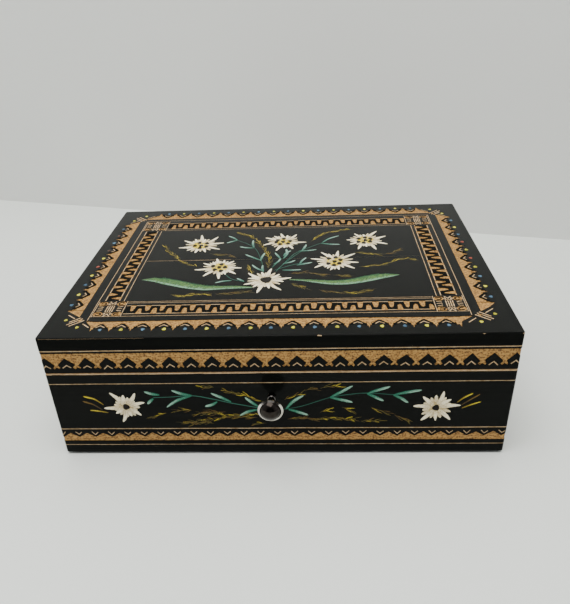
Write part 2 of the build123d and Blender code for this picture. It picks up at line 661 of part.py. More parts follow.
pieces = {
    "base_front_panel": base_front_panel,
    "base_back_panel": base_back_panel,
    "base_left_panel": base_left_panel,
    "base_right_panel": base_right_panel,
    "bottom_board": bottom_board,
    "base_pad": base_pad,
    "lid_top_front_board": lid_top_front_board,
    "lid_top_rear_board": lid_top_rear_board,
    "lid_front_rail": lid_front_rail,
    "lid_back_rail": lid_back_rail,
    "lid_left_rail": lid_left_rail,
    "lid_right_rail": lid_right_rail,
    **hinges,
    "base_hinge_screws": base_hinge_screws,
    "lid_hinge_screws": lid_hinge_screws,
    "lock_plate": lock_plate,
    "lock_cap": lock_cap,
    "lock_pillars": lock_pillars,
    "lock_drum": lock_drum,
    "drill_pin": drill_pin,
    "lock_bolt": lock_bolt,
    "bolt_spring": bolt_spring,
    "lock_screws": lock_screws,
    "strike_plate": strike_plate,
    "strike_staple": strike_staple,
    "strike_screws": strike_screws,
    "key_head": key_head,
    "key_shank": key_shank,
    "key_bit": key_bit,
}

os.makedirs("parts", exist_ok=True)
for name, piece in pieces.items():
    piece.part.label = name
    export_step(piece.part, f"parts/{name}.step")
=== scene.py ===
"""Dresses the lockable keepsake box: carved lacquer, painted flowers, hardware, felt pad and the studio.

Lengths are millimetres of the box's own frame until MM turns them to metres. The carving is laid out on the
walls unrolled: s runs round the box from the middle of the front, to the right, and v is the height.
"""
import json
import logging
import math
import random
from dataclasses import dataclass, field, replace
from enum import Enum, IntEnum
from typing import Callable, Iterable, Optional

import bmesh
import bpy
from mathutils import Matrix, Vector
from mathutils.geometry import delaunay_2d_cdt


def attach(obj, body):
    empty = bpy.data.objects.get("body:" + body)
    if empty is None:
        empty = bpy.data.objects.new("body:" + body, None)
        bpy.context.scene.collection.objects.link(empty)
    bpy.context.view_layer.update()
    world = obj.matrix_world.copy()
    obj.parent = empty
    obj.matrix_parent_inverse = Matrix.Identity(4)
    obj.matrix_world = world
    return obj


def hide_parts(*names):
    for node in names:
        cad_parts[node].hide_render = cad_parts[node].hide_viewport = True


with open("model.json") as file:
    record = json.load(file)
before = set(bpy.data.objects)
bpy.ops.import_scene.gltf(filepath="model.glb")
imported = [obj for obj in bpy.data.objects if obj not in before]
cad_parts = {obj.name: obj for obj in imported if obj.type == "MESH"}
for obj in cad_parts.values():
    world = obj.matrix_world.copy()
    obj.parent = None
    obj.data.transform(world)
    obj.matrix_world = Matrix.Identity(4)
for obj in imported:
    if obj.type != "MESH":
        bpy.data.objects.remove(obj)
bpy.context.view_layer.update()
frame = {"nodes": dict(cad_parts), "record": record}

MM = 0.001
Point = tuple[float, float]
Place = Callable[[float, float, float], tuple[float, float, float]]
log = logging.getLogger("keepsake_box")


def linear(colour: str) -> tuple[float, float, float, float]:
    """Turns an sRGB hex colour to linear RGBA."""
    parts = [int(colour[i:i + 2], 16) / 255 for i in (1, 3, 5)]
    return (*[c / 12.92 if c <= 0.04045 else ((c + 0.055) / 1.055) ** 2.4 for c in parts], 1.0)


def put(tree: bpy.types.NodeTree, kind: str, settings: Optional[dict] = None) -> bpy.types.Node:
    """Adds one node to a tree.

    Args:
        tree: The material's or world's node tree.
        kind: Blender's name for the node type, without its first word.
        settings: By attribute name, or by input name or number: a value, or the node or socket that feeds it;
            "stops" fills a colour ramp.

    Returns:
        The new node.
    """
    node = tree.nodes.new("ShaderNode" + kind)
    for key, value in (settings or {}).items():
        if key == "stops":
            while len(node.color_ramp.elements) < len(value):
                node.color_ramp.elements.new(0.5)
            for element, (spot, colour) in zip(node.color_ramp.elements, value):
                element.position, element.color = spot, linear(colour)
        elif isinstance(value, bpy.types.Node):
            tree.links.new(value.outputs[0], node.inputs[key])
        elif isinstance(value, bpy.types.NodeSocket):
            tree.links.new(value, node.inputs[key])
        elif isinstance(key, str) and hasattr(node, key):
            setattr(node, key, value)
        else:
            node.inputs[key].default_value = value
    return node


class Graph:
    """A node tree with short ways to add what most surfaces need."""

    def __init__(self, owner: bpy.types.Material | bpy.types.World) -> None:
        """Empties the owner's tree."""
        owner.use_nodes = True
        self.tree = owner.node_tree
        self.tree.nodes.clear()

    def add(self, kind: str, settings: Optional[dict] = None) -> bpy.types.Node:
        """Adds one node."""
        return put(self.tree, kind, settings)

    def maths(self, operation: str, *values: object) -> bpy.types.Node:
        """Adds a maths node whose values are numbers, nodes or sockets."""
        return self.add("Math", {"operation": operation, **dict(enumerate(values))})

    def noise(self, where: object, scale: float | tuple, detail: float = 2.0,
              more: Optional[dict] = None) -> bpy.types.Node:
        """Adds a noise; three scales stretch it along the axes."""
        if isinstance(scale, tuple):
            where, scale = self.add("Mapping", {"Scale": scale, "Vector": where}), 1.0
        return self.add("TexNoise", {"Scale": scale, "Detail": detail, **(more or {}), "Vector": where})

    def colour(self, shader: bpy.types.Node, factor: bpy.types.Node, *stops: tuple[float, str]) -> None:
        """Colours the shader by a ramp over the factor."""
        tone = self.add("ValToRGB", {"stops": stops, "Fac": factor})
        self.tree.links.new(tone.outputs["Color"], shader.inputs["Base Color"])

    def roughen(self, shader: bpy.types.Node, factor: bpy.types.Node, low: float, high: float) -> None:
        """Lets the roughness run from low to high with the factor."""
        rough = self.add("MapRange", {"To Min": low, "To Max": high, "Value": factor})
        self.tree.links.new(rough.outputs["Result"], shader.inputs["Roughness"])

    def relief(self, shader: bpy.types.Node, height: bpy.types.Node, depth_mm: float, strength: float = 1.0) -> None:
        """Bumps the surface by a height of depth_mm."""
        bump = self.add("Bump", {"Strength": strength, "Distance": depth_mm * MM, "Height": height})
        self.tree.links.new(bump.outputs["Normal"], shader.inputs["Normal"])


# The finishes, each named for the real material and for how its surface was made.

@dataclass(frozen=True)
class Finish:
    """What every finish has: a name, a roughness, and a specular level on the shader's own socket."""
    name: str = "finish"
    roughness: float = 0.5
    specular: float = 0.5

    def start(self, metallic: float = 0.0, ior: Optional[float] = None) -> tuple:
        """Makes the material, its graph and its shader; ior None keeps the default."""
        material = bpy.data.materials.new(self.name)
        graph = Graph(material)
        shader = graph.add("BsdfPrincipled", {
            "Metallic": metallic, "Roughness": self.roughness, "Specular IOR Level": self.specular})
        if ior is not None:
            shader.inputs["IOR"].default_value = ior
        graph.add("OutputMaterial", {"Surface": shader})
        return material, graph, shader


@dataclass(frozen=True)
class BrushedLacquer(Finish):
    """Black spirit lacquer laid on by brush over softwood: near-black, satin, with faint long brush lines."""
    black: str = "#0D0E0D"
    worn: str = "#121311"

    def make(self) -> bpy.types.Material:
        """Builds the material; the grain map holds millimetres along and across the board."""
        material, graph, shader = self.start(ior=1.5)
        where = graph.add("UVMap", {"uv_map": "grain"})
        # brush lines lie about 3 mm apart and run some 100 mm
        streak = graph.noise(where, (10, 320, 1), 3.0)
        # handling leaves clouded patches of 20 to 30 mm where the shine is lower
        cloud = graph.noise(where, 42.0)
        graph.colour(shader, streak, (0.35, self.black), (0.8, self.worn))
        graph.roughen(shader, cloud, self.roughness - 0.03, self.roughness + 0.06)
        graph.relief(shader, streak, 0.006, 0.5)
        return material


@dataclass(frozen=True)
class CutWood(Finish):
    """Limewood laid bare by the carver's chisel: golden tan, matt, stippled all over with small brown marks."""
    pale: str = "#B48A4A"
    tan: str = "#996F36"
    brown: str = "#56391A"
    fibres_per_m: float = 900.0
    cut_depth_mm: float = 0.06
    punch: float = 0.22
    fibre_ends_per_m: float = 300.0
    chatter: float = 0.45

    def make(self) -> bpy.types.Material:
        """Builds the material from short fibres, chisel chatter and punch marks."""
        material, graph, shader = self.start(ior=1.5)
        where = graph.add("UVMap", {"uv_map": "grain"})
        # fibres about 1 mm apart, drawn coarser than wood's own so that they show
        fibre = graph.noise(where, (self.fibre_ends_per_m, self.fibres_per_m, 1), 3.0, {"Roughness": 0.6})
        # the chisel's own marks, about 1 mm across
        chatter = graph.noise(where, 1000.0)
        # punch marks 1.5 mm apart, drawn a little larger than the tool's point so that they show
        points = graph.add("TexVoronoi", {"voronoi_dimensions": "2D", "Scale": 660.0, "Vector": where})
        clear = graph.add("MapRange", {"From Min": 0.16, "From Max": 0.42, "Value": points})
        both = graph.maths("MULTIPLY_ADD", chatter, self.chatter, fibre)
        marked = graph.maths("MULTIPLY_ADD", clear, self.punch, both)
        base = 0.2 + self.punch + self.chatter / 2
        graph.colour(shader, marked, (base, self.brown), (base + 0.24, self.tan), (base + 0.44, self.pale))
        graph.relief(shader, marked, self.cut_depth_mm)
        return material


@dataclass(frozen=True)
class StreakedPaint(Finish):
    """Artist's opaque paint laid in single strokes: bristle lines run along each stroke, its edge is thinner."""
    full: str = "#FFFFFF"
    thin: str = "#808080"
    bristles: float = 9.0
    thin_edge: float = 0.3

    def make(self) -> bpy.types.Material:
        """Builds the material; the stroke map runs along each stroke in metres and across it from 0 to 1."""
        material, graph, shader = self.start(ior=1.48)
        where = graph.add("UVMap", {"uv_map": "stroke"})
        hand = graph.add("Attribute", {"attribute_name": "tone"})
        # a small brush leaves lines a few tenths of a millimetre apart and some 5 mm long
        lines = graph.add("Mapping", {"Scale": (220, self.bristles, 1), "Vector": where})
        shift = graph.add("VectorMath", {"operation": "MULTIPLY_ADD", 0: hand.outputs["Vector"], 1: (40, 17, 9),
                                         2: lines})
        bristle = graph.noise(shift, 1.0)
        spread = graph.maths("MULTIPLY_ADD", hand.outputs["Fac"], 0.35, bristle)
        # the paint thins out towards both edges of the stroke
        across = graph.add("SeparateXYZ", {"Vector": where})
        side = graph.maths("MULTIPLY_ADD", across.outputs["Y"], 2.0, -1.0)
        edge = graph.maths("POWER", graph.maths("ABSOLUTE", side), 2.0)
        spread = graph.maths("MULTIPLY_ADD", edge, -self.thin_edge, spread)
        graph.colour(shader, spread, (0.45, self.thin), (0.72, self.full))
        graph.relief(shader, bristle, 0.05)
        return material


@dataclass(frozen=True)
class Metal(Finish):
    """Sheet or bar metal; lines_per_m runs the drawing or brushing marks along one axis."""
    light: str = "#C9A24E"
    dark: str = "#8E6B2C"
    lines_per_m: tuple[float, float, float] = (60.0, 900.0, 900.0)
    blot_mm: float = 6.0
    depth_mm: float = 0.01

    def make(self) -> bpy.types.Material:
        """Builds the metal from fine working lines and slow blotches of tarnish."""
        material, graph, shader = self.start(metallic=1.0)
        where = graph.add("TexCoord").outputs["Object"]
        mark = graph.noise(where, self.lines_per_m, 3.0)
        blot = graph.noise(where, 1000.0 / self.blot_mm, 3.0)
        graph.colour(shader, blot, (0.3, self.dark), (0.62, self.light))
        graph.roughen(shader, mark, self.roughness * 0.75, self.roughness * 1.3)
        graph.relief(shader, mark, self.depth_mm)
        return material


@dataclass(frozen=True)
class BirchPly(Finish):
    """Three-ply birch, sanded and left raw: pale flat grain with fine darker pores."""
    pale: str = "#DDBE93"
    tan: str = "#B98F5E"

    def make(self) -> bpy.types.Material:
        """Builds the board from long soft figure and fine pores."""
        material, graph, shader = self.start(ior=1.5)
        where = graph.add("TexCoord").outputs["Object"]
        figure = graph.noise(where, (9, 70, 70), 5.0, {"Distortion": 1.2})
        pore = graph.noise(where, (110, 1500, 1500))
        both = graph.maths("MULTIPLY_ADD", pore, 0.3, figure)
        graph.colour(shader, both, (0.45, self.tan), (0.8, self.pale))
        graph.relief(shader, pore, 0.03)
        return material


@dataclass(frozen=True)
class PressedFelt(Finish):
    """Thin black felt pressed from wool: dull, with a nap of crossing fibres and grey lint."""
    black: str = "#121212"
    lint: str = "#34332F"

    def make(self) -> bpy.types.Material:
        """Builds the felt from fibres a fraction of a millimetre thick, drawn at 0.7 mm so that they show."""
        material, graph, shader = self.start(ior=1.5)
        shader.inputs["Sheen Weight"].default_value = 0.25
        shader.inputs["Sheen Roughness"].default_value = 0.6
        nap = graph.noise(graph.add("TexCoord").outputs["Object"], 1400.0, 4.0, {"Distortion": 2.0})
        graph.colour(shader, nap, (0.4, self.black), (0.75, self.lint))
        graph.relief(shader, nap, 0.15)
        return material


@dataclass(frozen=True)
class PaintedSurface(Finish):
    """A matt painted table top or wall; seen from behind it lets the camera through when see_through is set."""
    light: str = "#D3D4D1"
    dark: str = "#CCCDCA"
    see_through: bool = False

    def make(self) -> bpy.types.Material:
        """Builds the paint from broad soft clouds and a fine roller grain."""
        material, graph, shader = self.start(ior=1.45)
        where = graph.add("TexCoord").outputs["Object"]
        graph.colour(shader, graph.noise(where, 3.0), (0.3, self.dark), (0.7, self.light))
        graph.relief(shader, graph.noise(where, 900.0), 0.03)
        if self.see_through:
            side = graph.add("NewGeometry")
            mix = graph.add("MixShader", {0: side.outputs["Backfacing"], 1: shader, 2: graph.add("BsdfTransparent")})
            end = next(n for n in graph.tree.nodes if n.bl_idname == "ShaderNodeOutputMaterial")
            graph.tree.links.new(mix.outputs["Shader"], end.inputs["Surface"])
        return material


def new_piece(name: str, points: Iterable[Iterable[float]], faces: list[tuple[int, ...]],
              materials: Iterable[bpy.types.Material], finish: Optional[list[int]] = None,
              sharp: Optional[float] = None, smooth: bool = True) -> bpy.types.Object:
    """Makes a mesh object and links it to the scene.

    Args:
        name: Its name.
        points: Its vertices in millimetres.
        faces: Its faces.
        materials: Its finishes.
        finish: The number of each face's finish, or None for the first throughout.
        sharp: Angle in degrees from which an edge stays sharp, or None.
        smooth: Whether the faces are shaded smooth.

    Returns:
        The new object.
    """
    mesh = bpy.data.meshes.new(name)
    mesh.from_pydata([tuple(c * MM for c in p) for p in points], [], faces)
    for material in materials:
        mesh.materials.append(material)
    if finish:
        mesh.polygons.foreach_set("material_index", finish)
    mesh.polygons.foreach_set("use_smooth", [smooth] * len(mesh.polygons))
    if sharp is not None:
        mesh.set_sharp_from_angle(angle=math.radians(sharp))
    mesh.update()
    piece = bpy.data.objects.new(name, mesh)
    bpy.context.scene.collection.objects.link(piece)
    return piece


def lay_chart(piece: bpy.types.Object, name: str, spots: list[Point]) -> None:
    """Gives a piece a UV map from one spot for each vertex."""
    mesh = piece.data
    mesh.uv_layers.new(name=name).data.foreach_set(
        "uv", [c for loop in mesh.loops for c in spots[loop.vertex_index]])


def signed_area(shape: list[Point]) -> float:
    """Gives twice the area of a flat shape, negative where it runs clockwise."""
    return sum(a[0] * b[1] - b[0] * a[1] for a, b in zip(shape, [*shape[1:], shape[0]]))


# The box's outline and the flat drawing that is carved into it.

class Surface(IntEnum):
    """The place of each finish in a wooden piece's list."""
    LACQUER = 0
    CUT = 1
    PLANED = 2
    CREASE = 3
    SCORED = 4
    STAIN = 5


class Ground(Enum):
    """What shows at one place of a carved face: its depth in mm and its finish."""
    LACQUER = (0.0, Surface.LACQUER)
    WOOD = (0.22, Surface.CUT)
    SCORE = (0.05, Surface.SCORED)
    BARE = (0.0, Surface.SCORED)
    CREASE = (0.15, Surface.CREASE)
    STAIN = (0.0, Surface.STAIN)


@dataclass(frozen=True)
class Cut:
    """One closed area of the drawing and what it lays bare."""
    ground: Ground
    points: tuple[Point, ...]

    def meets(self, low: Point, high: Point) -> bool:
        """Says whether the area's box meets the box from low to high."""
        xs, ys = [p[0] for p in self.points], [p[1] for p in self.points]
        return max(xs) > low[0] and min(xs) < high[0] and max(ys) > low[1] and min(ys) < high[1]


@dataclass(frozen=True)
class BoxOutline:
    """The box's plan, a rectangle with rounded corners, unrolled from the middle of the front."""
    half_x: float = 130.0
    half_y: float = 100.0
    corner: float = 1.5
    lid_edge: float = 81.0
    arris_inset: float = 0.8
    arris_rise: float = 0.65

    @property
    def turns(self) -> tuple[float, float, float, float]:
        """Lengths along the outline at which the two right corners start and end."""
        first = self.half_x - self.corner
        quarter = self.corner * math.pi / 2
        side = 2 * (self.half_y - self.corner)
        return first, first + quarter, first + quarter + side, first + 2 * quarter + side

    @property
    def around(self) -> float:
        """Length once round the box."""
        return 2 * (self.turns[3] + self.half_x - self.corner)

    @property
    def arris_length(self) -> float:
        """Length of the rounded top edge, measured over the round."""
        return self.arris_inset * math.pi / 2

    def at(self, s: float, inset: float) -> Point:
        """Gives x and y at length s from the middle of the front, moved inward by inset."""
        s = (s + self.around / 2) % self.around - self.around / 2
        t, hand = abs(s), math.copysign(1, s)
        a, b, c, d = self.turns
        flat_x, flat_y, r = self.half_x - self.corner, self.half_y - self.corner, self.corner - inset
        if t <= a:
            x, y = t, -self.half_y + inset
        elif t <= b:
            angle = (t - a) / self.corner
            x, y = flat_x + r * math.sin(angle), -flat_y - r * math.cos(angle)
        elif t <= c:
            x, y = self.half_x - inset, -flat_y + t - b
        elif t <= d:
            angle = (t - c) / self.corner
            x, y = flat_x + r * math.cos(angle), flat_y + r * math.sin(angle)
        else:
            x, y = flat_x - (t - d), self.half_y - inset
        return hand * x, y

    def along(self, x: float, y: float) -> float:
        """Gives the length s of a point on the outline."""
        a, b, c, d = self.turns
        hand, x = (1 if x >= 0 else -1), abs(x)
        flat_x, flat_y = self.half_x - self.corner, self.half_y - self.corner
        if abs(y) <= flat_y:
            t = b + y + flat_y
        elif y < 0:
            t = x if x <= flat_x else a + self.corner * math.atan2(x - flat_x, -flat_y - y)
        else:
            t = d + flat_x - x if x <= flat_x else c + self.corner * math.atan2(y - flat_y, x - flat_x)
        return hand * t

    def gap(self, x: float, y: float) -> float:
        """Gives the distance from the outline, negative inside it."""
        across = abs(x) - self.half_x + self.corner, abs(y) - self.half_y + self.corner
        return math.hypot(max(across[0], 0), max(across[1], 0)) + min(max(across), 0) - self.corner

    def wall(self, s: float, v: float, depth: float) -> tuple[float, float, float]:
        """Places a point of the unrolled walls; above lid_edge, v runs over the rounded arris."""
        if v <= self.lid_edge:
            return (*self.at(s, depth), v)
        angle = min((v - self.lid_edge) / self.arris_length, 1) * math.pi / 2
        inset = self.arris_inset * (1 - math.cos(angle))
        return (*self.at(s, inset), self.lid_edge + self.arris_rise * math.sin(angle))

    def top(self, x: float, y: float, depth: float) -> tuple[float, float, float]:
        """Places a point of the lid's top."""
        return x, y, self.lid_edge + self.arris_rise - depth


OUTLINE = BoxOutline()
# where the lid's side teeth start, from the front edge, and how far apart they stand
LEFT_TEETH, RIGHT_TEETH = (38.5, 13.57), (40.5, 13.59)
ON_OUTLINE = 0.05    # how near the outline a point of an outer face lies
UPRIGHT = 0.1    # largest z of an upright face's normal
ARRIS_SQUEEZE = 0.8125    # rise of the carved arris as a share of the CAD's


def ribbon(line: list[Point], width: float) -> tuple[Point, ...]:
    """Gives the closed outline of a line drawn with a given width, with mitred corners."""
    left, right = [], []
    for i, here in enumerate(line):
        before, after = line[max(i - 1, 0)], line[min(i + 1, len(line) - 1)]
        ways = []
        for a, b in ((before, here), (here, after)):
            run = math.hypot(b[0] - a[0], b[1] - a[1])
            if run > 1e-9:
                ways.append((-(b[1] - a[1]) / run, (b[0] - a[0]) / run))
        nx, ny = sum(w[0] for w in ways), sum(w[1] for w in ways)
        size = math.hypot(nx, ny) or 1.0
        nx, ny = nx / size, ny / size
        reach = width / 2 / max(0.45, nx * ways[0][0] + ny * ways[0][1])
        left.append((here[0] + nx * reach, here[1] + ny * reach))
        right.append((here[0] - nx * reach, here[1] - ny * reach))
    return tuple(left + right[::-1])


def blob(x: float, y: float, across: float, up: float, dice: random.Random, rough: float = 0.1) -> tuple[Point, ...]:
    """Gives a round spot whose edge wanders a little."""
    spot = []
    for i in range(14):
        grow, angle = 1 + dice.uniform(-rough, rough), i * math.pi / 7
        spot.append((x + across * grow * math.cos(angle), y + up * grow * math.sin(angle)))
    return tuple(spot)


class Drawing:
    """The cuts of one drawing, in the order in which they are laid over each other."""

    def __init__(self, seed: int) -> None:
        """Starts an empty drawing with its own hand."""
        self.cuts: list[Cut] = []
        self.dice = random.Random(seed)

    def area(self, ground: Ground, points: Iterable[Point], shake: float = 0.0, fixed: Iterable[int] = ()) -> None:
        """Adds one closed area whose corners wander by shake, but for those numbered in fixed."""
        held, moved = set(fixed), []
        for i, (x, y) in enumerate(points):
            if shake and i not in held:
                x, y = x + self.dice.uniform(-shake, shake), y + self.dice.uniform(-shake, shake)
            moved.append((x, y))
        self.cuts.append(Cut(ground, tuple(moved)))

    def line(self, ground: Ground, line: list[Point], width: float, shake: float = 0.0) -> None:
        """Adds a line of a given width whose points wander by shake."""
        moved = [(x + self.dice.uniform(-shake, shake) * 0.3, y + self.dice.uniform(-shake, shake))
                 for x, y in line] if shake else line
        self.area(ground, ribbon(moved, width))

    def score(self, line: list[Point], width: float, shake: float = 0.0) -> None:
        """Scores a line through the lacquer."""
        self.line(Ground.SCORE, line, width, shake)

    def rule(self, ground: Ground, start: Point, end: Point, width: float, shake: float = 0.08) -> None:
        """Adds a long straight line that was scored by hand, in runs of about 9 mm."""
        runs = max(2, round(math.dist(start, end) / 9))
        upright = abs(end[0] - start[0]) < abs(end[1] - start[1])
        line = []
        for i in range(runs + 1):
            x = start[0] + (end[0] - start[0]) * i / runs
            y = start[1] + (end[1] - start[1]) * i / runs
            off = self.dice.uniform(-shake, shake)
            line.append((x + off, y) if upright else (x, y + off))
        self.area(ground, ribbon(line, width))


@dataclass
class WallBorders:
    """The borders that run round the walls: arrow-cut band on the lid, wave band at the foot, scored lines."""
    arrows: int = 79
    arrow_top: float = 71.8
    waves: int = 93
    wave_phase: float = 3.97
    first_s: float = -350.0
    last_s: float = 705.0
    strip: Point = (73.9, 81.0)
    rubbed: Point = (57.8, 58.35)
    # the long scored lines from the top down: height, width and how far the hand strays
    lines: tuple = ((73.3, 0.6, 0.06), (51.5, 0.45, 0.05), (19.4, 0.55, 0.08), (7.4, 0.38, 0.08))

    def draw(self) -> list[Cut]:
        """Draws all of them on the unrolled walls and gives the cuts, in order."""
        page = Drawing(11)
        arrow = OUTLINE.around / self.arrows
        top = self.arrow_top
        half = arrow / 2
        for k in range(int(self.first_s // arrow), int(self.last_s // arrow) + 1):
            x, lift = k * arrow, page.dice.uniform(-0.3, 0.3)
            page.area(Ground.WOOD, [
                (x - half, top), (x - half, top - 9.0), (x - 4.4, top - 10.1), (x - 3.6, top - 9.2),
                (x - 4.75, top - 7.6), (x - 4.4, top - 6.9), (x, top - 2.8 + lift), (x + 4.4, top - 6.9),
                (x + 4.75, top - 7.6), (x + 3.6, top - 9.2), (x + 4.4, top - 10.1), (x + half, top - 9.0),
                (x + half, top)], 0.28, (0, 1, 11, 12))
            low = page.dice.uniform(-0.5, 0.3)
            page.score([(x - 2.4, top - 9.6 + low), (x, top - 7.7 + low), (x + 2.4, top - 9.6 + low)],
                      0.6, 0.3)
        # the strip above the border is stained matt, and so darker than the lid's shining top
        low, high = self.strip
        page.area(Ground.STAIN, [(self.first_s, low), (self.last_s, low), (self.last_s, high), (self.first_s, high)])
        height, width, shake = self.lines[0]
        page.rule(Ground.SCORE, (self.first_s, height), (self.last_s, height), width, shake)
        # the edge below the seam is rubbed through to the wood, but for a few stretches
        s, (low, high) = self.first_s, self.rubbed
        while s < self.last_s:
            run = page.dice.uniform(28, 95)
            page.area(Ground.BARE, [(s, low + page.dice.uniform(0, 0.2)), (s + run * 0.5, low),
                                    (s + run, low + 0.05), (s + run, high), (s, high)])
            s += run + page.dice.choice((0.0, 0.0, 0.0, 5.0))
        for height, width, shake in self.lines[1:]:
            page.rule(Ground.SCORE, (self.first_s, height), (self.last_s, height), width, shake)
        wave = OUTLINE.around / self.waves
        first = int((self.first_s - self.wave_phase) // wave)
        last = int((self.last_s - self.wave_phase) // wave)
        for k in range(first, last + 1):
            x = self.wave_phase + k * wave
            page.area(Ground.WOOD, [
                (x - wave / 2, 10.4), (x + wave / 2, 10.4), (x + wave / 2, 13.3),
                (x + page.dice.uniform(-0.3, 0.3), 16.4 + page.dice.uniform(-0.35, 0.3)), (x - wave / 2, 13.3)])
            low = x + wave / 2
            page.score([(low - 1.9, 17.0), (low, 15.1), (low + 1.9, 17.0)], 0.5, 0.25)
        return page.cuts


@dataclass
class LidBorders:
    """The frame carved round the lid's top. Distances from the front edge are turned to y by subtracting 100."""
    middle: float = 100.0
    tooth_pitch: float = 11.8
    teeth: int = 17
    front_first: float = -97.0
    back_first: float = -93.1
    # a mark at the front end and its twin at the back end add up to this
    ends_sum: float = 198.9
    corner_marks: tuple = (
        ((-119.5, 26.3), (-114.5, 21.6), 0.7), ((-108.2, 15.9), (-103.4, 11.5), 0.7),
        ((-116.6, 17.6), (-111.2, 22.8), 0.8), ((-117.2, 14.6), (-109.8, 21.6), 0.8),
        ((-115.4, 13.2), (-108.4, 19.8), 0.8))
    # the thin lines outside and inside the zigzag frame, each from one end to the other
    frame_lines: tuple = (
        ((-106.7, 19.5), (-106.7, 175.5)), ((106.7, 19.5), (106.7, 175.5)), ((-106.7, 23.9), (106.7, 23.9)),
        ((-106.7, 175.9), (106.7, 175.9)), ((-91.5, 42.6), (-91.5, 155.5)), ((91.5, 42.6), (91.5, 155.5)),
        ((-88.5, 40.0), (88.5, 40.0)), ((-91.0, 155.8), (91.0, 155.8)), ((-88.5, 41.6), (88.5, 41.6)))
    # the zigzag strips: ends, near and far border, one wedge of each border, and the wedges' distance
    long_combs: tuple = (
        ((-88.2, 88.2), 26.5, 36.8, (-0.75, 3.5), 8.75), ((-88.2, 88.2), 158.6, 170.4, (3.7, -0.85), 8.75))
    side_combs: tuple = (
        ((43.2, 154.6), -103.1, -94.1, (51.7, 46.7), 10.19), ((43.2, 154.6), 93.8, 103.3, (51.0, 46.7), 10.0))

    def tooth(self, page: Drawing, put_at: Callable[[float, float], Point], t: float, tall: float,
              halves: Point, leg: Point = (4.3, 6.6)) -> None:
        """Draws one unit of the outer band: two half teeth with an arch between them and a light caret.

        Args:
            page: The drawing.
            put_at: Turns distance along the band and distance out from its inner edge to x and y.
            t: The unit's middle along the band.
            tall: How much taller than drawn it is.
            halves: Its reach to the left and to the right of its middle.
            leg: Where a leg of the arch ends, along and out.
        """
        rim = []
        for hand, half in ((-1, halves[0]), (1, halves[1])):
            reach = leg[0] * min(1.0, half / 5.9)
            side = [(half, 0), (half, 11.3), (half - 0.4 * (half - reach), 8.2), (half - 0.7 * (half - reach), 8.9),
                    (reach, leg[1])]
            side.insert(4, (reach + 0.25, leg[1] - 1.2))
            rim += [(hand * a, h) for a, h in side] if hand < 0 else [(-0.7, 2.6), (0.8, 2.6), *reversed(side)]
        page.line(Ground.STAIN, [put_at(t + a, h * tall) for a, h in ((-5.2, 8.0), (0, 3.6), (5.2, 8.0))], 3.0)
        page.area(Ground.WOOD, [put_at(t + a, h * tall) for a, h in rim], 0.2, (0, 1, 12, 13))
        page.score([put_at(t + a, h * tall) for a, h in (
            (-2.5, leg[1] + 0.1), (-0.2, leg[1] - 1.9), (2.5, leg[1] + 0.1))], 0.6, 0.2)

    def comb(self, page: Drawing, put_at: Callable[[float, float], Point], ends: Point, low: float, high: float,
             starts: Point, period: float, blunt: float = 0.6) -> None:
        """Cuts a strip of wedges from both borders, which leaves a black zigzag standing between them.

        Args:
            page: The drawing.
            put_at: Turns distance along the strip and distance across it to x and y.
            ends: Where the strip starts and ends.
            low: Its near border.
            high: Its far border.
            starts: Middle of one wedge of the near border and of one of the far border.
            period: Distance between wedges.
            blunt: Width near a wedge's tip as a share of its base.
        """
        for ground, a, b in ((Ground.STAIN, low, high), (Ground.SCORE, low, low + 0.6),
                             (Ground.SCORE, high, high - 0.6)):
            page.area(ground, [put_at(ends[0], a), put_at(ends[1], a), put_at(ends[1], b), put_at(ends[0], b)])
        tall, wide = high - low, period * 0.2
        for start, base, way in ((starts[0], low, 1), (starts[1], high, -1)):
            k = math.ceil((ends[0] + 1.2 - start) / period)
            while start + k * period < ends[1] - 1.2:
                middle, half = start + k * period, wide * page.dice.uniform(0.9, 1.1)
                reach = tall * page.dice.uniform(0.66, 0.74)
                lean = page.dice.uniform(-0.25, 0.25)
                shape = [(-half, -0.1), (-half * 0.82, reach * 0.45), (-half * blunt + lean, reach * 0.88),
                         (lean, reach), (half * blunt + lean, reach * 0.88), (half * 0.82, reach * 0.45),
                         (half, -0.1)]
                page.area(Ground.WOOD, [put_at(min(max(middle + a, ends[0]), ends[1]), base + way * h)
                                        for a, h in shape], 0.12, (0, 6))
                k += 1

    def square(self, page: Drawing, x: float, y: float, hand: int) -> None:
        """Draws a corner square from its middle: blocks with curls, bars, carets and a hatched centre."""
        def spot(a: float, b: float) -> Point:
            return x + hand * a, y + b

        for a in (-5.4, 5.4):
            for b in (-6.3, 6.3):
                page.area(Ground.WOOD, blob(*spot(a, b), 2.9, 2.7, page.dice, 0.06))
                curl = [spot(a * (1 + 0.3 * math.cos(k * 0.62 + 0.5)), b * (1 + 0.24 * math.sin(k * 0.62 + 0.5)))
                        for k in range(9)]
                page.line(Ground.LACQUER, curl, 0.75, 0.2)
                page.score([spot(a * 0.36, b * 1.2), spot(a * 0.26, b * 0.75)], 0.6, 0.15)
        for a in (-8.4, 8.4):
            page.score([spot(a, -9.4), spot(a, 9.4)], 0.4, 0.1)
            for b in (-2.3, 0.1, 2.4):
                page.score([spot(a * 0.86, b * 1.1), spot(a * 0.62, b), spot(a * 0.5, b * 0.7)], 0.65, 0.15)
        for b in (-1, 1):
            for width, shake, half in ((0.7, 0.15, ((-1.9, 9.0), (0, 6.2), (1.9, 9.0))),
                                       (0.5, 0.1, ((-2.9, 6.0), (-1.4, 4.8), (1.4, 4.8), (2.9, 6.0)))):
                page.score([spot(across, b * out) for across, out in half], width, shake)
        for a in (-1.9, -0.65, 0.65, 1.9):
            page.score([spot(a, -3.7), spot(a, 3.7)], 0.62, 0.1)

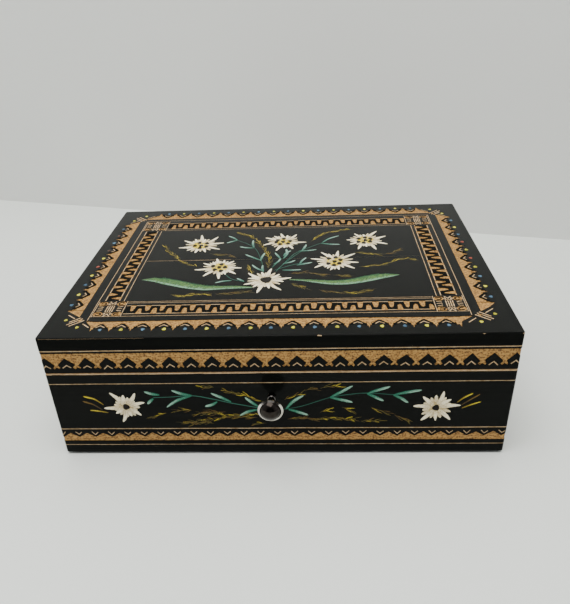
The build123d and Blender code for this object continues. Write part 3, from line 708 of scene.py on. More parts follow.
    def draw(self) -> list[Cut]:
        """Draws the whole frame in the lid's x and y and gives the cuts, in order."""
        page = Drawing(23)
        mid = self.middle
        pitch, last = self.tooth_pitch, self.teeth - 1

        def front(t: float, h: float) -> Point:
            return t, 18.2 + 0.45 * math.cos(t / 42) - h - mid

        def back(t: float, h: float) -> Point:
            return t, 180.0 + h - mid

        def left(t: float, h: float) -> Point:
            return -112.4 - h, t - mid

        def right(t: float, h: float) -> Point:
            return 112.5 + h, t - mid

        for k in range(self.teeth):
            self.tooth(page, front, self.front_first + k * pitch, 1.0,
                       (4.6 if k == 0 else pitch / 2, 7.2 if k == last else pitch / 2))
            self.tooth(page, back, self.back_first + k * pitch, 1.15, (pitch / 2, 4.6 if k == last else pitch / 2))
        for k in range(10):
            for place, (first, step), tall in ((left, LEFT_TEETH, 0.9 + 0.02 * k), (right, RIGHT_TEETH, 0.93)):
                self.tooth(page, place, first + step * k, tall, (step / 2, step / 2), (5.4, 6.9))
        front_ends = {-1: 4.6 - self.front_first, 1: self.front_first + last * pitch + 7.2}
        back_ends = {-1: pitch / 2 - self.back_first, 1: self.back_first + last * pitch + 4.6}
        for hand in (-1, 1):
            def chips(*areas: tuple[Point, ...]) -> None:
                for points in areas:
                    page.area(Ground.WOOD, [(hand * a, b - mid) for a, b in points])

            near, far = front_ends[hand], back_ends[hand]
            chips(((107.2, 18.6), (near, 17.9), (near, 7.0), (near + 0.9, 12.4)),
                  ((110.0, 180.0), (far + 1.2, 188.4), (far, 193.0), (far, 180.0)))
            near, far = (31.7, 167.4) if hand < 0 else (33.7, 169.6)
            chips(((112.4, 23.5), (118.6, 28.7), (122.4, near), (112.4, near)),
                  ((112.4, far), (123.4, far), (120.4, far + 2.2), (112.4, 176.4)))
            for a, b, width in self.corner_marks:
                page.score([(-hand * a[0], a[1] - mid), (-hand * b[0], b[1] - mid)], width, 0.15)
                page.score([(-hand * a[0], self.ends_sum - a[1] - mid), (-hand * b[0], self.ends_sum - b[1] - mid)],
                           width, 0.15)
            # small chip where the corner strips cross
            for level in (19.6, 179.3):
                chips(((112.2, level), (111.0, level + 1.6), (109.6, level + 0.2), (110.9, level - 1.5)))
        for a, b in self.frame_lines:
            page.rule(Ground.SCORE, (a[0], a[1] - mid), (b[0], b[1] - mid), 0.4)
        for ends, low, high, starts, period in self.long_combs:
            self.comb(page, lambda t, h: (t, h - mid), ends, low, high, starts, period)
        for ends, low, high, starts, period in self.side_combs:
            self.comb(page, lambda t, h: (h, t - mid), ends, low, high, starts, period, 0.32)
        for hand in (-1, 1):
            for y in (33.1, 165.3):
                self.square(page, hand * 97.4, y - mid, hand)
        page.rule(Ground.CREASE, (-90.8, 0.0), (90.8, 0.0), 0.16, 0.0)
        page.rule(Ground.SCORE, (-90.8, 0.35), (-34.0, 0.2), 0.34, 0.05)
        return page.cuts


def arris_wear() -> list[Cut]:
    """Draws the chips and the rubbed line on the lid's front arris."""
    page = Drawing(5)
    for chip in (((-128, 81.05), (-104, 81.05), (-70, 81.1), (-70, 81.16), (-104, 81.13), (-128, 81.14)),
                 ((22.5, 81.1), (24.8, 80.9), (25.0, 81.5), (23.0, 81.8)),
                 ((108.4, 81.0), (109.4, 80.9), (109.6, 81.3), (108.6, 81.4)),
                 ((128.6, 80.8), (130.4, 80.8), (130.2, 81.2), (128.8, 81.2))):
        page.area(Ground.BARE, chip)
    return page.cuts


class WoodenMesh:
    """Gathers the faces of one wooden piece: carved skins, and the plain faces of its CAD node."""

    def __init__(self) -> None:
        """Starts with no faces."""
        self.points: list[tuple[float, float, float]] = []
        self.grain: list[Point] = []
        self.faces: list[tuple[int, ...]] = []
        self.finish: list[int] = []

    def carve(self, cells: list[list[Point]], cuts: list[Cut], place: Place) -> None:
        """Lays the drawing on the given cells and sinks each area to its depth, with upright walls between.

        Args:
            cells: Closed areas of the flat drawing that are this piece's surface.
            cuts: The drawing.
            place: Turns flat position and depth to a point of the box.
        """
        low, high = ([pick(p[i] for c in cells for p in c) for i in (0, 1)] for pick in (min, max))
        used = [c for c in cuts if c.meets(low, high)]
        flat, areas = [], []
        for shape in [*cells, *[c.points for c in used]]:
            areas.append(list(range(len(flat), len(flat) + len(shape))))
            flat.extend(Vector(p) for p in (shape if signed_area(shape) > 0 else shape[::-1]))
        spots, _, tris, _, _, owners = delaunay_2d_cdt(flat, [], areas, 0, 1e-4, True)
        known: dict[tuple[int, float], int] = {}
        level: dict[tuple[int, int], Ground] = {}
        shown = []

        def corner(i: int, depth: float) -> int:
            if (i, depth) not in known:
                known[i, depth] = len(self.points)
                u, v = spots[i]
                self.points.append(place(u, v, depth))
                self.grain.append((u, v))
            return known[i, depth]

        for tri, owner in zip(tris, owners):
            if not owner or min(owner) >= len(cells):
                continue
            top = max(owner)
            ground = used[top - len(cells)].ground if top >= len(cells) else Ground.LACQUER
            shown.append((tri, ground))
            for a, b in zip(tri, [*tri[1:], tri[0]]):
                level[a, b] = ground
        for tri, ground in shown:
            depth, finish = ground.value
            self.faces.append(tuple(corner(i, depth) for i in tri))
            self.finish.append(finish)
            for a, b in zip(tri, [*tri[1:], tri[0]]):
                below = level.get((b, a))
                if below and below.value[0] > depth + 1e-9:
                    # the cut's walls are lacquered all the way down: their top is the lacquer's own thickness, the
                    # rest is painted shade, which outlines the wood dark
                    deep = below.value[0]
                    self.faces.append((corner(a, depth), corner(a, deep), corner(b, deep), corner(b, depth)))
                    self.finish.append(Surface.LACQUER)

    def keep(self, node: bpy.types.Object, keeps: Callable[[Vector, Vector, list[Vector]], Optional[int]],
             grain_axis: int) -> None:
        """Copies faces of a CAD node.

        Args:
            node: The CAD node.
            keeps: Gives the finish for a face from its centre, its normal and its corners, or None to drop it.
            grain_axis: The axis that the board's grain runs along, 0 for x and 1 for y.
        """
        mesh = node.data
        spots = [v.co / MM for v in mesh.vertices]
        for face in mesh.polygons:
            corners = [spots[i] for i in face.vertices]
            finish = keeps(face.center / MM, face.normal, corners)
            if finish is None:
                continue
            start = len(self.points)
            for p in corners:
                # the carved arris rises a little less than the CAD's, and what meets it follows
                above = max(p.z - OUTLINE.lid_edge, 0)
                self.points.append((p.x, p.y, OUTLINE.lid_edge + above * ARRIS_SQUEEZE if above else p.z))
                self.grain.append((p[grain_axis], p[1 - grain_axis] + p.z))
            self.faces.append(tuple(range(start, start + len(corners))))
            self.finish.append(finish)

    def piece(self, name: str, materials: list[bpy.types.Material]) -> bpy.types.Object:
        """Makes the object; the materials are in the order of Surface."""
        piece = new_piece(name, self.points, self.faces, materials, [int(f) for f in self.finish], 30)
        lay_chart(piece, "grain", [(u * MM, v * MM) for u, v in self.grain])
        return piece


class Wood(Enum):
    """Which part of the box a wooden node belongs to; it sets what shows on its plain faces."""
    CARCASS = "carcass"
    RAIL = "rail"
    BOARD = "board"


@dataclass
class WoodenNode:
    """One wooden piece of the box that stands for its CAD node, with its outside carved."""
    node: str
    body: str
    wood: Wood
    rear: bool = False
    sideways: bool = False
    # limits in mm that tell the plain faces apart: the keyhole, the lid's ceiling, the rim's bevels and the foot
    keyhole: Point = (-3.2, 41.5)
    keyhole_reach: Point = (3.0, 5.5)
    keyhole_back: float = -95.5
    ceiling: float = 73.62
    bevel: Point = (0.1, 0.97)
    bevel_reach: float = -1.2
    rim: Point = (50, 60)
    hinge_side: float = 95
    foot: float = 2.5

    def plain(self, centre: Vector, normal: Vector, corners: list[Vector]) -> Optional[int]:
        """Gives the finish of a plain CAD face, or None for a face that the carved skin takes the place of.

        Args:
            centre: The face's centre.
            normal: Its normal.
            corners: Its corners.

        Returns:
            The number of the finish, or None.
        """
        x, z = self.keyhole
        if abs(normal.z) < UPRIGHT and all(abs(OUTLINE.gap(p.x, p.y)) < ON_OUTLINE for p in corners):
            return None
        # the keyhole's bore is lacquered black as painted shade in the hole
        if self.node == "base_front_panel" and abs(centre.x - x) < self.keyhole_reach[0] \
                and abs(centre.z - z) < self.keyhole_reach[1] and centre.y < self.keyhole_back:
            return Surface.LACQUER
        joint = abs(normal.z) < UPRIGHT and abs(centre.y) < 0.1
        if self.wood is Wood.BOARD and centre.z > self.ceiling and not joint:
            return None
        if self.bevel[0] < abs(normal.z) < self.bevel[1] and OUTLINE.gap(centre.x, centre.y) > self.bevel_reach:
            # the bevels of the rim are rubbed to the wood, but for those at the back
            rubbed = centre.y < self.hinge_side and self.rim[0] < centre.z < self.rim[1]
            return Surface.SCORED if rubbed else Surface.LACQUER
        # the underside takes the matt black stain as painted shade, which keeps the gap under the box's edge as dark
        # as its contact shadow
        return Surface.STAIN if normal.z < -0.9 and centre.z < self.foot else Surface.PLANED

    def outside(self, node: bpy.types.Object) -> list[list[Point]]:
        """Unrolls the CAD node's outer faces, each to a closed area in s and v."""
        cells = []
        spots = [v.co / MM for v in node.data.vertices]
        for face in node.data.polygons:
            corners = [spots[i] for i in face.vertices]
            if abs(face.normal.z) < UPRIGHT and all(abs(OUTLINE.gap(p.x, p.y)) < ON_OUTLINE for p in corners):
                cell = [(OUTLINE.along(p.x, p.y), p.z) for p in corners]
                if self.rear:
                    cell = [(s + OUTLINE.around if s < 0 else s, v) for s, v in cell]
                if abs(signed_area(cell)) > 1e-6:
                    cells.append([(round(s, 5), round(v, 5)) for s, v in cell])
        return cells

    def build(self, wall_cuts: list[Cut], lid_cuts: list[Cut],
              materials: list[bpy.types.Material]) -> bpy.types.Object:
        """Builds the piece and puts it in its node's place.

        Args:
            wall_cuts: The drawing of the walls.
            lid_cuts: The drawing of the lid's top.
            materials: Its finishes, in the order of Surface.

        Returns:
            The piece.
        """
        node = frame["nodes"][self.node]
        shape = WoodenMesh()
        cells = self.outside(node)
        shape.carve(cells, wall_cuts, OUTLINE.wall)
        if self.wood is Wood.BOARD:
            rim = sorted({s for cell in cells for s, v in cell if v > OUTLINE.lid_edge - 0.01})
            steps = [OUTLINE.lid_edge + OUTLINE.arris_length * k / 4 for k in range(5)]
            bands = [[(a, low), (b, low), (b, high), (a, high)]
                     for a, b in zip(rim, rim[1:]) for low, high in zip(steps, steps[1:])]
            shape.carve(bands, wall_cuts, OUTLINE.wall)
            sheet = [OUTLINE.at(s, OUTLINE.arris_inset) for s in rim]
            shape.carve([sheet], lid_cuts, OUTLINE.top)
        shape.keep(node, self.plain, 1 if self.sideways else 0)
        piece = shape.piece(self.node + "_carved", materials)
        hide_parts(self.node)
        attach(piece, self.body)
        log.info("%s: %d faces", piece.name, len(shape.faces))
        return piece


# The painting.

COAT = 0.022    # thickness of one coat of paint in mm
SUNK = -0.03    # how far a stroke's edge sinks into the lacquer
# height over a stroke's width, from edge to edge: place across, and rise as a share or SUNK
STROKE_PROFILE = ((-1, SUNK), (-0.7, 0.6), (0, 1), (0.7, 0.6), (1, SUNK))


def toward(a: Point, b: Point, share: float, bow: float = 0.0) -> Point:
    """Gives the point a share of the way from a to b, moved to the left by bow shares."""
    dx, dy = b[0] - a[0], b[1] - a[1]
    return a[0] + share * dx - bow * dy, a[1] + share * dy + bow * dx


class Shade(Enum):
    """The painter's colours, as full and thin paint."""
    PETAL = ("#FFF5D6", "#AE9660")
    HEART = ("#DCC238", "#A68A22")
    SEED = ("#140D06", "#0A0704")
    SPRIG = ("#93B2A2", "#376656")
    BLADE = ("#5D7D44", "#294F33")
    STALK = ("#2F5C38", "#183825")
    SAGE = ("#7BA084", "#3D6E55")
    LEAF = ("#90B6A2", "#1E654E")
    STEM = ("#2C6252", "#184236")
    GRASS = ("#80722A", "#352F14")
    STRAW = ("#DAC634", "#7C6820")
    RUST = ("#765C28", "#3A2C14")
    BLUE = ("#54768E", "#2C4458")
    YELLOW = ("#D4CD3A", "#8E8A1E")
    RED = ("#8E3F2E", "#5C251B")
    BROWN = ("#6A4433", "#3A241B")


@dataclass
class Painting:
    """Strokes of paint on one face, each a thin raised ribbon that sinks into the lacquer at its edges."""
    name: str
    body: str
    place: Place
    seed: int
    points: list = field(default_factory=list)
    faces: list = field(default_factory=list)
    chart: list = field(default_factory=list)
    tones: list = field(default_factory=list)
    shades: list = field(default_factory=list)
    count: int = 0

    def __post_init__(self) -> None:
        """Gives the painter a hand of their own."""
        self.dice = random.Random(self.seed)

    def dab(self, x: float, y: float, rise: float, spot: Point, tone: float) -> None:
        """Adds one vertex with its place on the stroke map and its tone."""
        self.points.append(self.place(x, y, rise))
        self.chart.append(spot)
        self.tones.append(tone)

    def skin(self, shade: Shade, *corners: int) -> None:
        """Adds one face."""
        self.faces.append(corners)
        self.shades.append(shade)

    def stroke(self, spine: list[Point], widths: list[float], shade: Shade, coat: int = 0,
               ragged: float = 0.1, fade: Optional[Point] = None) -> None:
        """Paints one stroke.

        Args:
            spine: Points that it passes through.
            widths: Its width at points spread evenly along it.
            shade: Its colour.
            coat: 0 for the first coat, up to 4 for the last.
            ragged: How far its edges wander, as a share of its width.
            fade: How full the paint is at its start and at its end, or None for one fullness by chance.
        """
        ends = [spine[0], *spine, spine[-1]]
        line = []
        for p0, p1, p2, p3 in zip(ends, ends[1:], ends[2:], ends[3:]):
            run = max(3, min(14, round(math.dist(p1, p2) / 1.1)))
            for k in range(run):
                t = k / run
                line.append(tuple(0.5 * (2 * b + (c - a) * t + (2 * a - 5 * b + 4 * c - d) * t * t
                                         + (3 * b - a - 3 * c + d) * t ** 3)
                                  for a, b, c, d in zip(p0, p1, p2, p3)))
        line.append(spine[-1])
        tone, lift = self.dice.random(), 0.012 + COAT * coat + self.dice.uniform(0, 0.012)
        total, first = 0.0, len(self.points)
        for i, here in enumerate(line):
            before, after = line[max(i - 1, 0)], line[min(i + 1, len(line) - 1)]
            run = math.dist(before, after) or 1.0
            nx, ny = -(after[1] - before[1]) / run, (after[0] - before[0]) / run
            total += math.dist(line[i - 1], here) if i else 0.0
            spot = i / (len(line) - 1) * (len(widths) - 1)
            k = min(int(spot), len(widths) - 2)
            ease = (1 - math.cos((spot - k) * math.pi)) / 2
            half = (widths[k] * (1 - ease) + widths[k + 1] * ease) / 2
            edges = half * (1 + self.dice.uniform(-ragged, ragged)), half * (1 + self.dice.uniform(-ragged, ragged))
            for j, (across, high) in enumerate(STROKE_PROFILE):
                off = across * edges[0 if across < 0 else 1]
                rise = high if high < 0 else lift + 0.02 * high * min(1, half)
                self.dab(here[0] + nx * off, here[1] + ny * off, rise, (total * MM, j / 4), tone if fade is None else
                         fade[0] + (fade[1] - fade[0]) * i / (len(line) - 1) + 0.2 * (tone - 0.5))
        for i in range(len(line) - 1):
            for j in range(4):
                a = first + i * 5 + j
                self.skin(shade, a, a + 5, a + 6, a + 1)
        self.count += 1

    def spot(self, x: float, y: float, across: float, up: float, shade: Shade, coat: int = 3) -> None:
        """Paints one round dab with a domed top."""
        tone, first = self.dice.random(), len(self.points)
        lift = 0.018 + COAT * coat + self.dice.uniform(0, 0.01)
        turn, sides = self.dice.uniform(0, 6), 12
        for share, high in ((1.0, SUNK), (0.8, lift + 0.01), (0.4, lift + 0.022)):
            for k in range(sides):
                angle = 2 * math.pi * k / sides
                wander = 1 + 0.12 * math.sin(3 * angle + turn)
                self.dab(x + across * share * wander * math.cos(angle), y + up * share * wander * math.sin(angle),
                         high, (k * 0.0007, 0.5 + 0.45 * share), tone)
        self.dab(x, y, lift + 0.026, (0.0, 0.5), tone)
        for k in range(sides):
            n = (k + 1) % sides
            for a in (first, first + sides):
                self.skin(shade, a + k, a + n, a + sides + n, a + sides + k)
            self.skin(shade, first + 2 * sides + k, first + 2 * sides + n, first + 3 * sides)
        self.count += 1

    def leaf(self, tip: Point, base: Point, width: float, shade: Shade, coat: int = 1) -> None:
        """Paints a slim leaf in two strokes, full and blunt at its tip and thin where it joins its stem."""
        bow = self.dice.uniform(-0.1, 0.1)
        along = base[0] - tip[0], base[1] - tip[1]
        mid = toward(tip, base, 0.5, bow)
        self.stroke([tip, mid, base], [w * width for w in (0.15, 0.6, 0.85, 0.97, 1.0, 0.92, 0.8, 0.62, 0.35)],
                    shade, coat, 0.1, (0.7, -0.5))
        off = 0.2 * width * self.dice.choice((-1, 1)) / (math.hypot(*along) or 1)
        lit = [(x - along[1] * off, y + along[0] * off) for x, y in (toward(tip, base, 0.06), mid)]
        self.stroke(lit, [0.2, width * 0.32, width * 0.25, 0.15], shade, coat + 1, 0.1, (1.4, 0.6))

    def grass(self, spine: list[Point], shades: tuple[Shade, ...], barb: float = 4.2, width: float = 0.4) -> None:
        """Paints a grass ear: a thin stalk with short barbs that lean forward on both sides.

        Args:
            spine: Points from the root end to the tip end, or back.
            shades: Its colours; each barb takes one of them by chance.
            barb: Length of a barb.
            width: Width of the stalk.
        """
        self.stroke(spine, [width * 0.6, width, width, width * 0.6], shades[0], 0, 0.15, (0.0, 0.4))
        for a, b in zip(spine, spine[1:]):
            run = math.dist(a, b)
            way = math.atan2(b[1] - a[1], b[0] - a[0])
            for k in range(int(run / 0.8)):
                t = (k + self.dice.uniform(0.1, 0.9)) * 0.8 / run
                if t > 1 or self.dice.random() < 0.2:
                    continue
                x, y = a[0] + (b[0] - a[0]) * t, a[1] + (b[1] - a[1]) * t
                angle = way + self.dice.choice((-1, 1)) * self.dice.uniform(0.12, 0.6)
                size = barb * self.dice.uniform(0.4, 1.1)
                bend = angle - 0.25 * math.copysign(1, angle - way)
                x1, y1 = x + 0.5 * size * math.cos(angle), y + 0.5 * size * math.sin(angle)
                self.stroke([(x, y), (x1, y1), (x1 + 0.5 * size * math.cos(bend), y1 + 0.5 * size * math.sin(bend))],
                            [0.2, 0.45, 0.35, 0.1], self.dice.choice(shades), self.dice.randrange(2), 0.15,
                            (self.dice.uniform(-0.6, 0.6), self.dice.uniform(-0.2, 0.9)))

    def piece(self, slot: str) -> bpy.types.Object:
        """Makes the piece, with one material for each shade that it uses, and lets it ride on its body."""
        used = list(dict.fromkeys(self.shades))
        piece = new_piece(self.name, self.points, self.faces, [PAINTS[shade] for shade in used],
                          [used.index(s) for s in self.shades])
        lay_chart(piece, "stroke", self.chart)
        piece.data.attributes.new("tone", "FLOAT", "POINT").data.foreach_set("value", self.tones)
        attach(piece, self.body)
        log.info("%s: %d strokes", self.name, self.count)
        return piece


PAINTS: dict[Shade, bpy.types.Material] = {}


@dataclass
class Edelweiss:
    """One edelweiss: where its heart is, where its petals end and where the dark dots of the heart are."""
    heart: Point
    tips: tuple[Point, ...]
    dots: tuple[Point, ...] = ()
    heart_size: Point = (5.0, 6.2)
    petal: float = 3.6
    dark_heart: bool = False
    between: Point = (0.68, 0.82)
    dabs: int = 56
    dot_size: Point = (1.75, 2.6)

    def paint(self, flowers: Painting) -> None:
        """Paints the petals from a pale ground up, then the yellow heart and its dots."""
        dice, (x, y), scale = flowers.dice, self.heart, self.petal / 3.1
        reach = sum(math.dist(self.heart, t) for t in self.tips) / len(self.tips)
        flowers.spot(x, y, reach * 0.45, reach * 0.42, Shade.PETAL, 0)
        ways = sorted(math.atan2(t[1] - y, t[0] - x) for t in self.tips)
        for a, b in zip(ways, [*ways[1:], ways[0] + 2 * math.pi]):
            for share in ((0.5,) if b - a < 0.9 else (0.33, 0.67)):
                angle, far = a + (b - a) * share, reach * dice.uniform(*self.between)
                end = (x + far * math.cos(angle), y + far * math.sin(angle))
                flowers.stroke([toward(self.heart, end, 0.2), end],
                               [w * scale for w in (1.6, 2.4, 2.6, 2.2, 1.5, 0.3)], Shade.PETAL, 0, 0.12,
                               (-0.4, 0.6))
        for tip in self.tips:
            mid = toward(self.heart, tip, 0.6, dice.uniform(-0.06, 0.06))
            flowers.stroke([toward(self.heart, tip, 0.15), mid, tip],
                           [w * scale for w in (1.6, 2.4, 2.8, 2.8, 2.5, 2.1, 1.6, 1.1, 0.3)],
                           Shade.PETAL, 1, 0.12, (0.0, 1.15))
            # a thin shaded line down the middle of the petal, as the bristles parted
            flowers.stroke([toward(self.heart, tip, 0.25), mid], [0.2, 0.45, 0.3, 0.1], Shade.PETAL, 2, 0.2,
                           (-0.9, -0.6))
        if self.dark_heart:
            flowers.spot(x, y, *self.heart_size, Shade.SEED, 4)
        else:
            for _ in range(self.dabs):
                angle, far = dice.uniform(0, 2 * math.pi), math.sqrt(dice.random())
                flowers.spot(x + self.heart_size[0] * far * math.cos(angle),
                             y + self.heart_size[1] * far * math.sin(angle),
                             dice.uniform(0.8, 1.3), dice.uniform(0.8, 1.5), Shade.HEART, 2)
        for dx, dy in self.dots:
            flowers.spot(dx, dy, *self.dot_size, Shade.SEED, 4)


@dataclass
class LidPainting:
    """The bunch of edelweiss on the lid; distances from the front edge are turned to y by subtracting 100."""
    flowers: tuple[Edelweiss, ...] = (
        Edelweiss((-58, 126), ((-60, 145), (-47.5, 141), (-42, 129.5), (-43.5, 118), (-53, 113.5), (-60, 112.5),
                               (-66.5, 117), (-73, 122), (-71, 135), (-63.5, 137.5), (-56, 137)),
                  ((-59.5, 130.3), (-54, 129), (-62, 125), (-57.7, 125), (-53.8, 123.5), (-58, 121.2))),
        Edelweiss((0, 129), ((-13, 137), (-7, 140), (-2.5, 144.5), (2.5, 141), (9, 142), (16, 127.5), (10, 124.5),
                             (7, 116), (1, 118), (-4.5, 113.5), (-14, 123.5)),
                  ((-4, 132), (0, 134.5), (-0.3, 129), (4.5, 130), (-5, 128.5), (3.3, 125.5), (-2.2, 124.7))),
        Edelweiss((57, 129), ((50, 141), (56, 139.5), (66, 145), (71.5, 135.5), (71.5, 121), (63, 112), (57, 117),
                              (51, 113), (46, 122), (44, 130)),
                  ((52.5, 131.5), (57, 133.5), (60.5, 131), (52, 126), (57, 128.5), (60, 126.3), (55.5, 124))),
        Edelweiss((-40, 88), ((-51.5, 95), (-45.5, 97), (-43.5, 102), (-38, 99.5), (-31.5, 97.5), (-25.5, 86.5),
                              (-28.5, 77.5), (-35, 77), (-38.5, 70.5), (-49, 75), (-56, 85)),
                  ((-44.5, 90), (-39.3, 92.5), (-36.5, 88), (-40.2, 88), (-42.8, 84.5), (-38.5, 82.5))),
        Edelweiss((35, 94), ((19, 99), (26, 109), (31, 106), (37.5, 111), (48.5, 106), (50, 91.5), (47, 82.5),
                             (37, 81), (31.5, 80.5), (28, 85), (21.5, 84.5)),
                  ((31, 98.5), (35.5, 100), (38.5, 96), (34.5, 93.5), (30.5, 90.5), (37.5, 90.5), (34, 88))),
        Edelweiss((-8.5, 68), ((-20.5, 78.5), (-12, 79.5), (-6, 84.5), (-0.5, 76), (7, 70.5), (2.5, 65), (1.5, 53.5),
                               (-6, 56), (-13, 50.3), (-22, 62), (-20, 70.5), (-16, 58)), (), (4.1, 5.0), 3.6, True),
    )
    blades: tuple = (
        ((-87.5, 71.3, 0.2), (-80, 71.5, 6), (-72, 69, 9.5), (-64, 65.5, 9.5), (-55, 61.5, 8.5), (-45, 58.6, 7),
         (-35, 58.5, 5), (-25, 58.7, 3.8), (-16.5, 58, 1.5)),
        ((6, 67.8, 1), (14, 66.8, 2.5), (22, 65, 4.5), (30, 63.2, 6), (38, 62.8, 6.8), (46, 64.5, 8.2), (54, 67.5, 9),
         (61, 70.2, 8.5), (67, 71.3, 5.5), (74, 72, 0.2)),
    )
    sprig_leaves: tuple = (
        (-40, 142, -33, 134), (-40, 129, -33, 134), (-21.5, 133, -20, 120), (-30, 121.5, -20, 119),
        (-25, 108, -14, 98), (-12, 110, -14, 97), (-19, 91, -11, 81), (-12, 90, -11, 80), (-5, 110, -1, 100),
        (2.5, 116, 1, 100), (5.5, 113, 1, 104), (9, 97, 1, 92), (16, 101, 12, 91), (20, 93, 10, 89), (13, 82, 1, 82),
        (39, 138, 27, 126), (39, 122, 26, 125), (16, 123, 13, 112), (23, 114, 11, 112), (-27, 71, -22, 66),
        (-40, 65, -30, 68), (-1, 100, -5, 91),
    )
    stems: tuple = (
        ((-33, 134), (-20, 120), (-14, 100), (-11, 82)), ((0, 100), (-6, 86)),
        ((26, 125), (10, 110), (4, 98), (-3, 80)), ((-35, 77), (-30, 70), (-22, 66)),
        ((20, 93), (8, 90), (-4, 82)), ((13, 112), (6, 100), (-2, 84)),
    )
    grasses: tuple = (
        ((-55, 90), (-66, 98), (-72, 106), (-79, 116), (-83, 126)),
        ((-8, 85), (-8, 100), (-12, 115), (-17, 128), (-22, 139), (-33, 148)),
        ((-30, 102), (-36, 108), (-45, 109)), ((19, 128), (24, 138), (32, 145), (45, 150)),
        ((48, 108), (55, 106), (64, 104)), ((68, 104), (73, 106), (79, 112)),
        ((50, 85), (60, 86), (68, 89), (75, 94), (81, 96), (86, 94)),
        ((-22, 92), (-19, 80)), ((5, 76), (15, 78), (22, 76), (28, 73)), ((33, 73), (43, 72)), ((7, 62), (16, 56)),
        ((24, 53), (32, 50), (37, 49)), ((38, 50), (45, 48), (54, 51)),
        ((-65, 50), (-59, 48), (-52, 50), (-44, 50)), ((-38, 50), (-30, 50.5), (-18, 52)),
    )
    left_dots: str = "BYBYRYNBNB"
    right_dots: str = "BYBYRYRBYB"
    middle: float = 100.0

    def down(self, points: Iterable[Point]) -> list[Point]:
        """Turns distances from the front edge to y."""
        return [(x, y - self.middle) for x, y in points]

    def paint(self) -> None:
        """Paints the lid: grasses first, then leaves, flowers and the dots of the border."""
        def place(x: float, y: float, rise: float) -> tuple[float, float, float]:
            return OUTLINE.top(x, y, -rise)

        sedge = Painting("lid_grasses", "lid", place, 31)
        for i, spine in enumerate(self.grasses):
            sedge.grass(self.down(spine), ((Shade.GRASS, Shade.GRASS, Shade.STRAW), (Shade.RUST, Shade.GRASS))[
                i % 3 == 2], 6.0)
        sedge.piece("lacquered_wood")
        leaves = Painting("lid_leaves", "lid", place, 32)
        for spine in self.stems:
            leaves.stroke(self.down(spine), [0.5, 0.6, 0.4], Shade.STEM, 0)
        for a, b, c, d in self.sprig_leaves:
            leaves.leaf((a, b - self.middle), (c, d - self.middle), 1.85, Shade.SPRIG)
        for blade in self.blades:
            # dark along the upper edge, yellower in the middle, pale and cool along the lower edge
            for side, share, shade, coat in ((0.0, 1.0, Shade.STALK, 0), (0.02, 0.72, Shade.BLADE, 1),
                                             (-0.34, 0.28, Shade.SAGE, 1)):
                leaves.stroke([(x, y + side * w - self.middle) for x, y, w in blade],
                              [share * w for _, _, w in blade], shade, coat, 0.06)
            # short strokes across the blade, as the bristles left them
            for i in range(330):
                spot = leaves.dice.uniform(0.2, len(blade) - 1.2)
                k = int(spot)
                x, y, w = (p + (q - p) * (spot - k) for p, q in zip(blade[k], blade[k + 1]))
                off = leaves.dice.uniform(-0.38, 0.38)
                size, lean = w * leaves.dice.uniform(0.07, 0.2), leaves.dice.uniform(-0.9, 0.3)
                x, y = x + leaves.dice.uniform(-1, 1), y + off * w - self.middle
                pick = leaves.dice.random() + off
                leaves.stroke([(x - size * lean, y + size), (x + size * lean, y - size)], [0.15, 0.6, 0.15],
                              Shade.STALK if pick > 0.45 else Shade.BLADE if pick > 0.05 else Shade.SAGE, 3,
                              0.1, (leaves.dice.uniform(0, 1), leaves.dice.uniform(0, 1)))
        leaves.piece("lacquered_wood")
        flowers = Painting("lid_flowers", "lid", place, 33)
        for flower in self.flowers:
            lowered = replace(flower, heart=self.down([flower.heart])[0], tips=tuple(self.down(flower.tips)),
                              dots=tuple(self.down(flower.dots)))
            lowered.paint(flowers)
        flowers.piece("lacquered_wood")
        dots = Painting("lid_border_dots", "lid", place, 34)
        for k in range(17):
            shade = Shade.YELLOW if k % 2 else Shade.BLUE
            x = 11.8 * k + dots.dice.uniform(-0.4, 0.4)
            dots.spot(x - 96.3, 18.2 - 9.6 - self.middle, 1.15, 1.5, shade, 2)
            dots.spot(x - 92.9, 191.6 - self.middle, 1.05, 1.4, shade, 2)
        shades = {"Y": Shade.YELLOW, "B": Shade.BLUE, "R": Shade.RED, "N": Shade.BROWN}
        for k, (near, far) in enumerate(zip(self.left_dots, self.right_dots)):
            for x, (first, step), letter in ((-121.9, LEFT_TEETH, near), (121.8, RIGHT_TEETH, far)):
                dots.spot(x, first + step * k - self.middle, 1.2, 1.5, shades[letter], 2)
        for hand in (-1, 1):
            for x, y in ((119.2, 20.2), (110.1, 11.8), (117.9, 178.0), (110.3, 187.6)):
                dots.spot(hand * x, y - self.middle, 1.1, 1.3, Shade.YELLOW, 2)
        dots.piece("lacquered_wood")


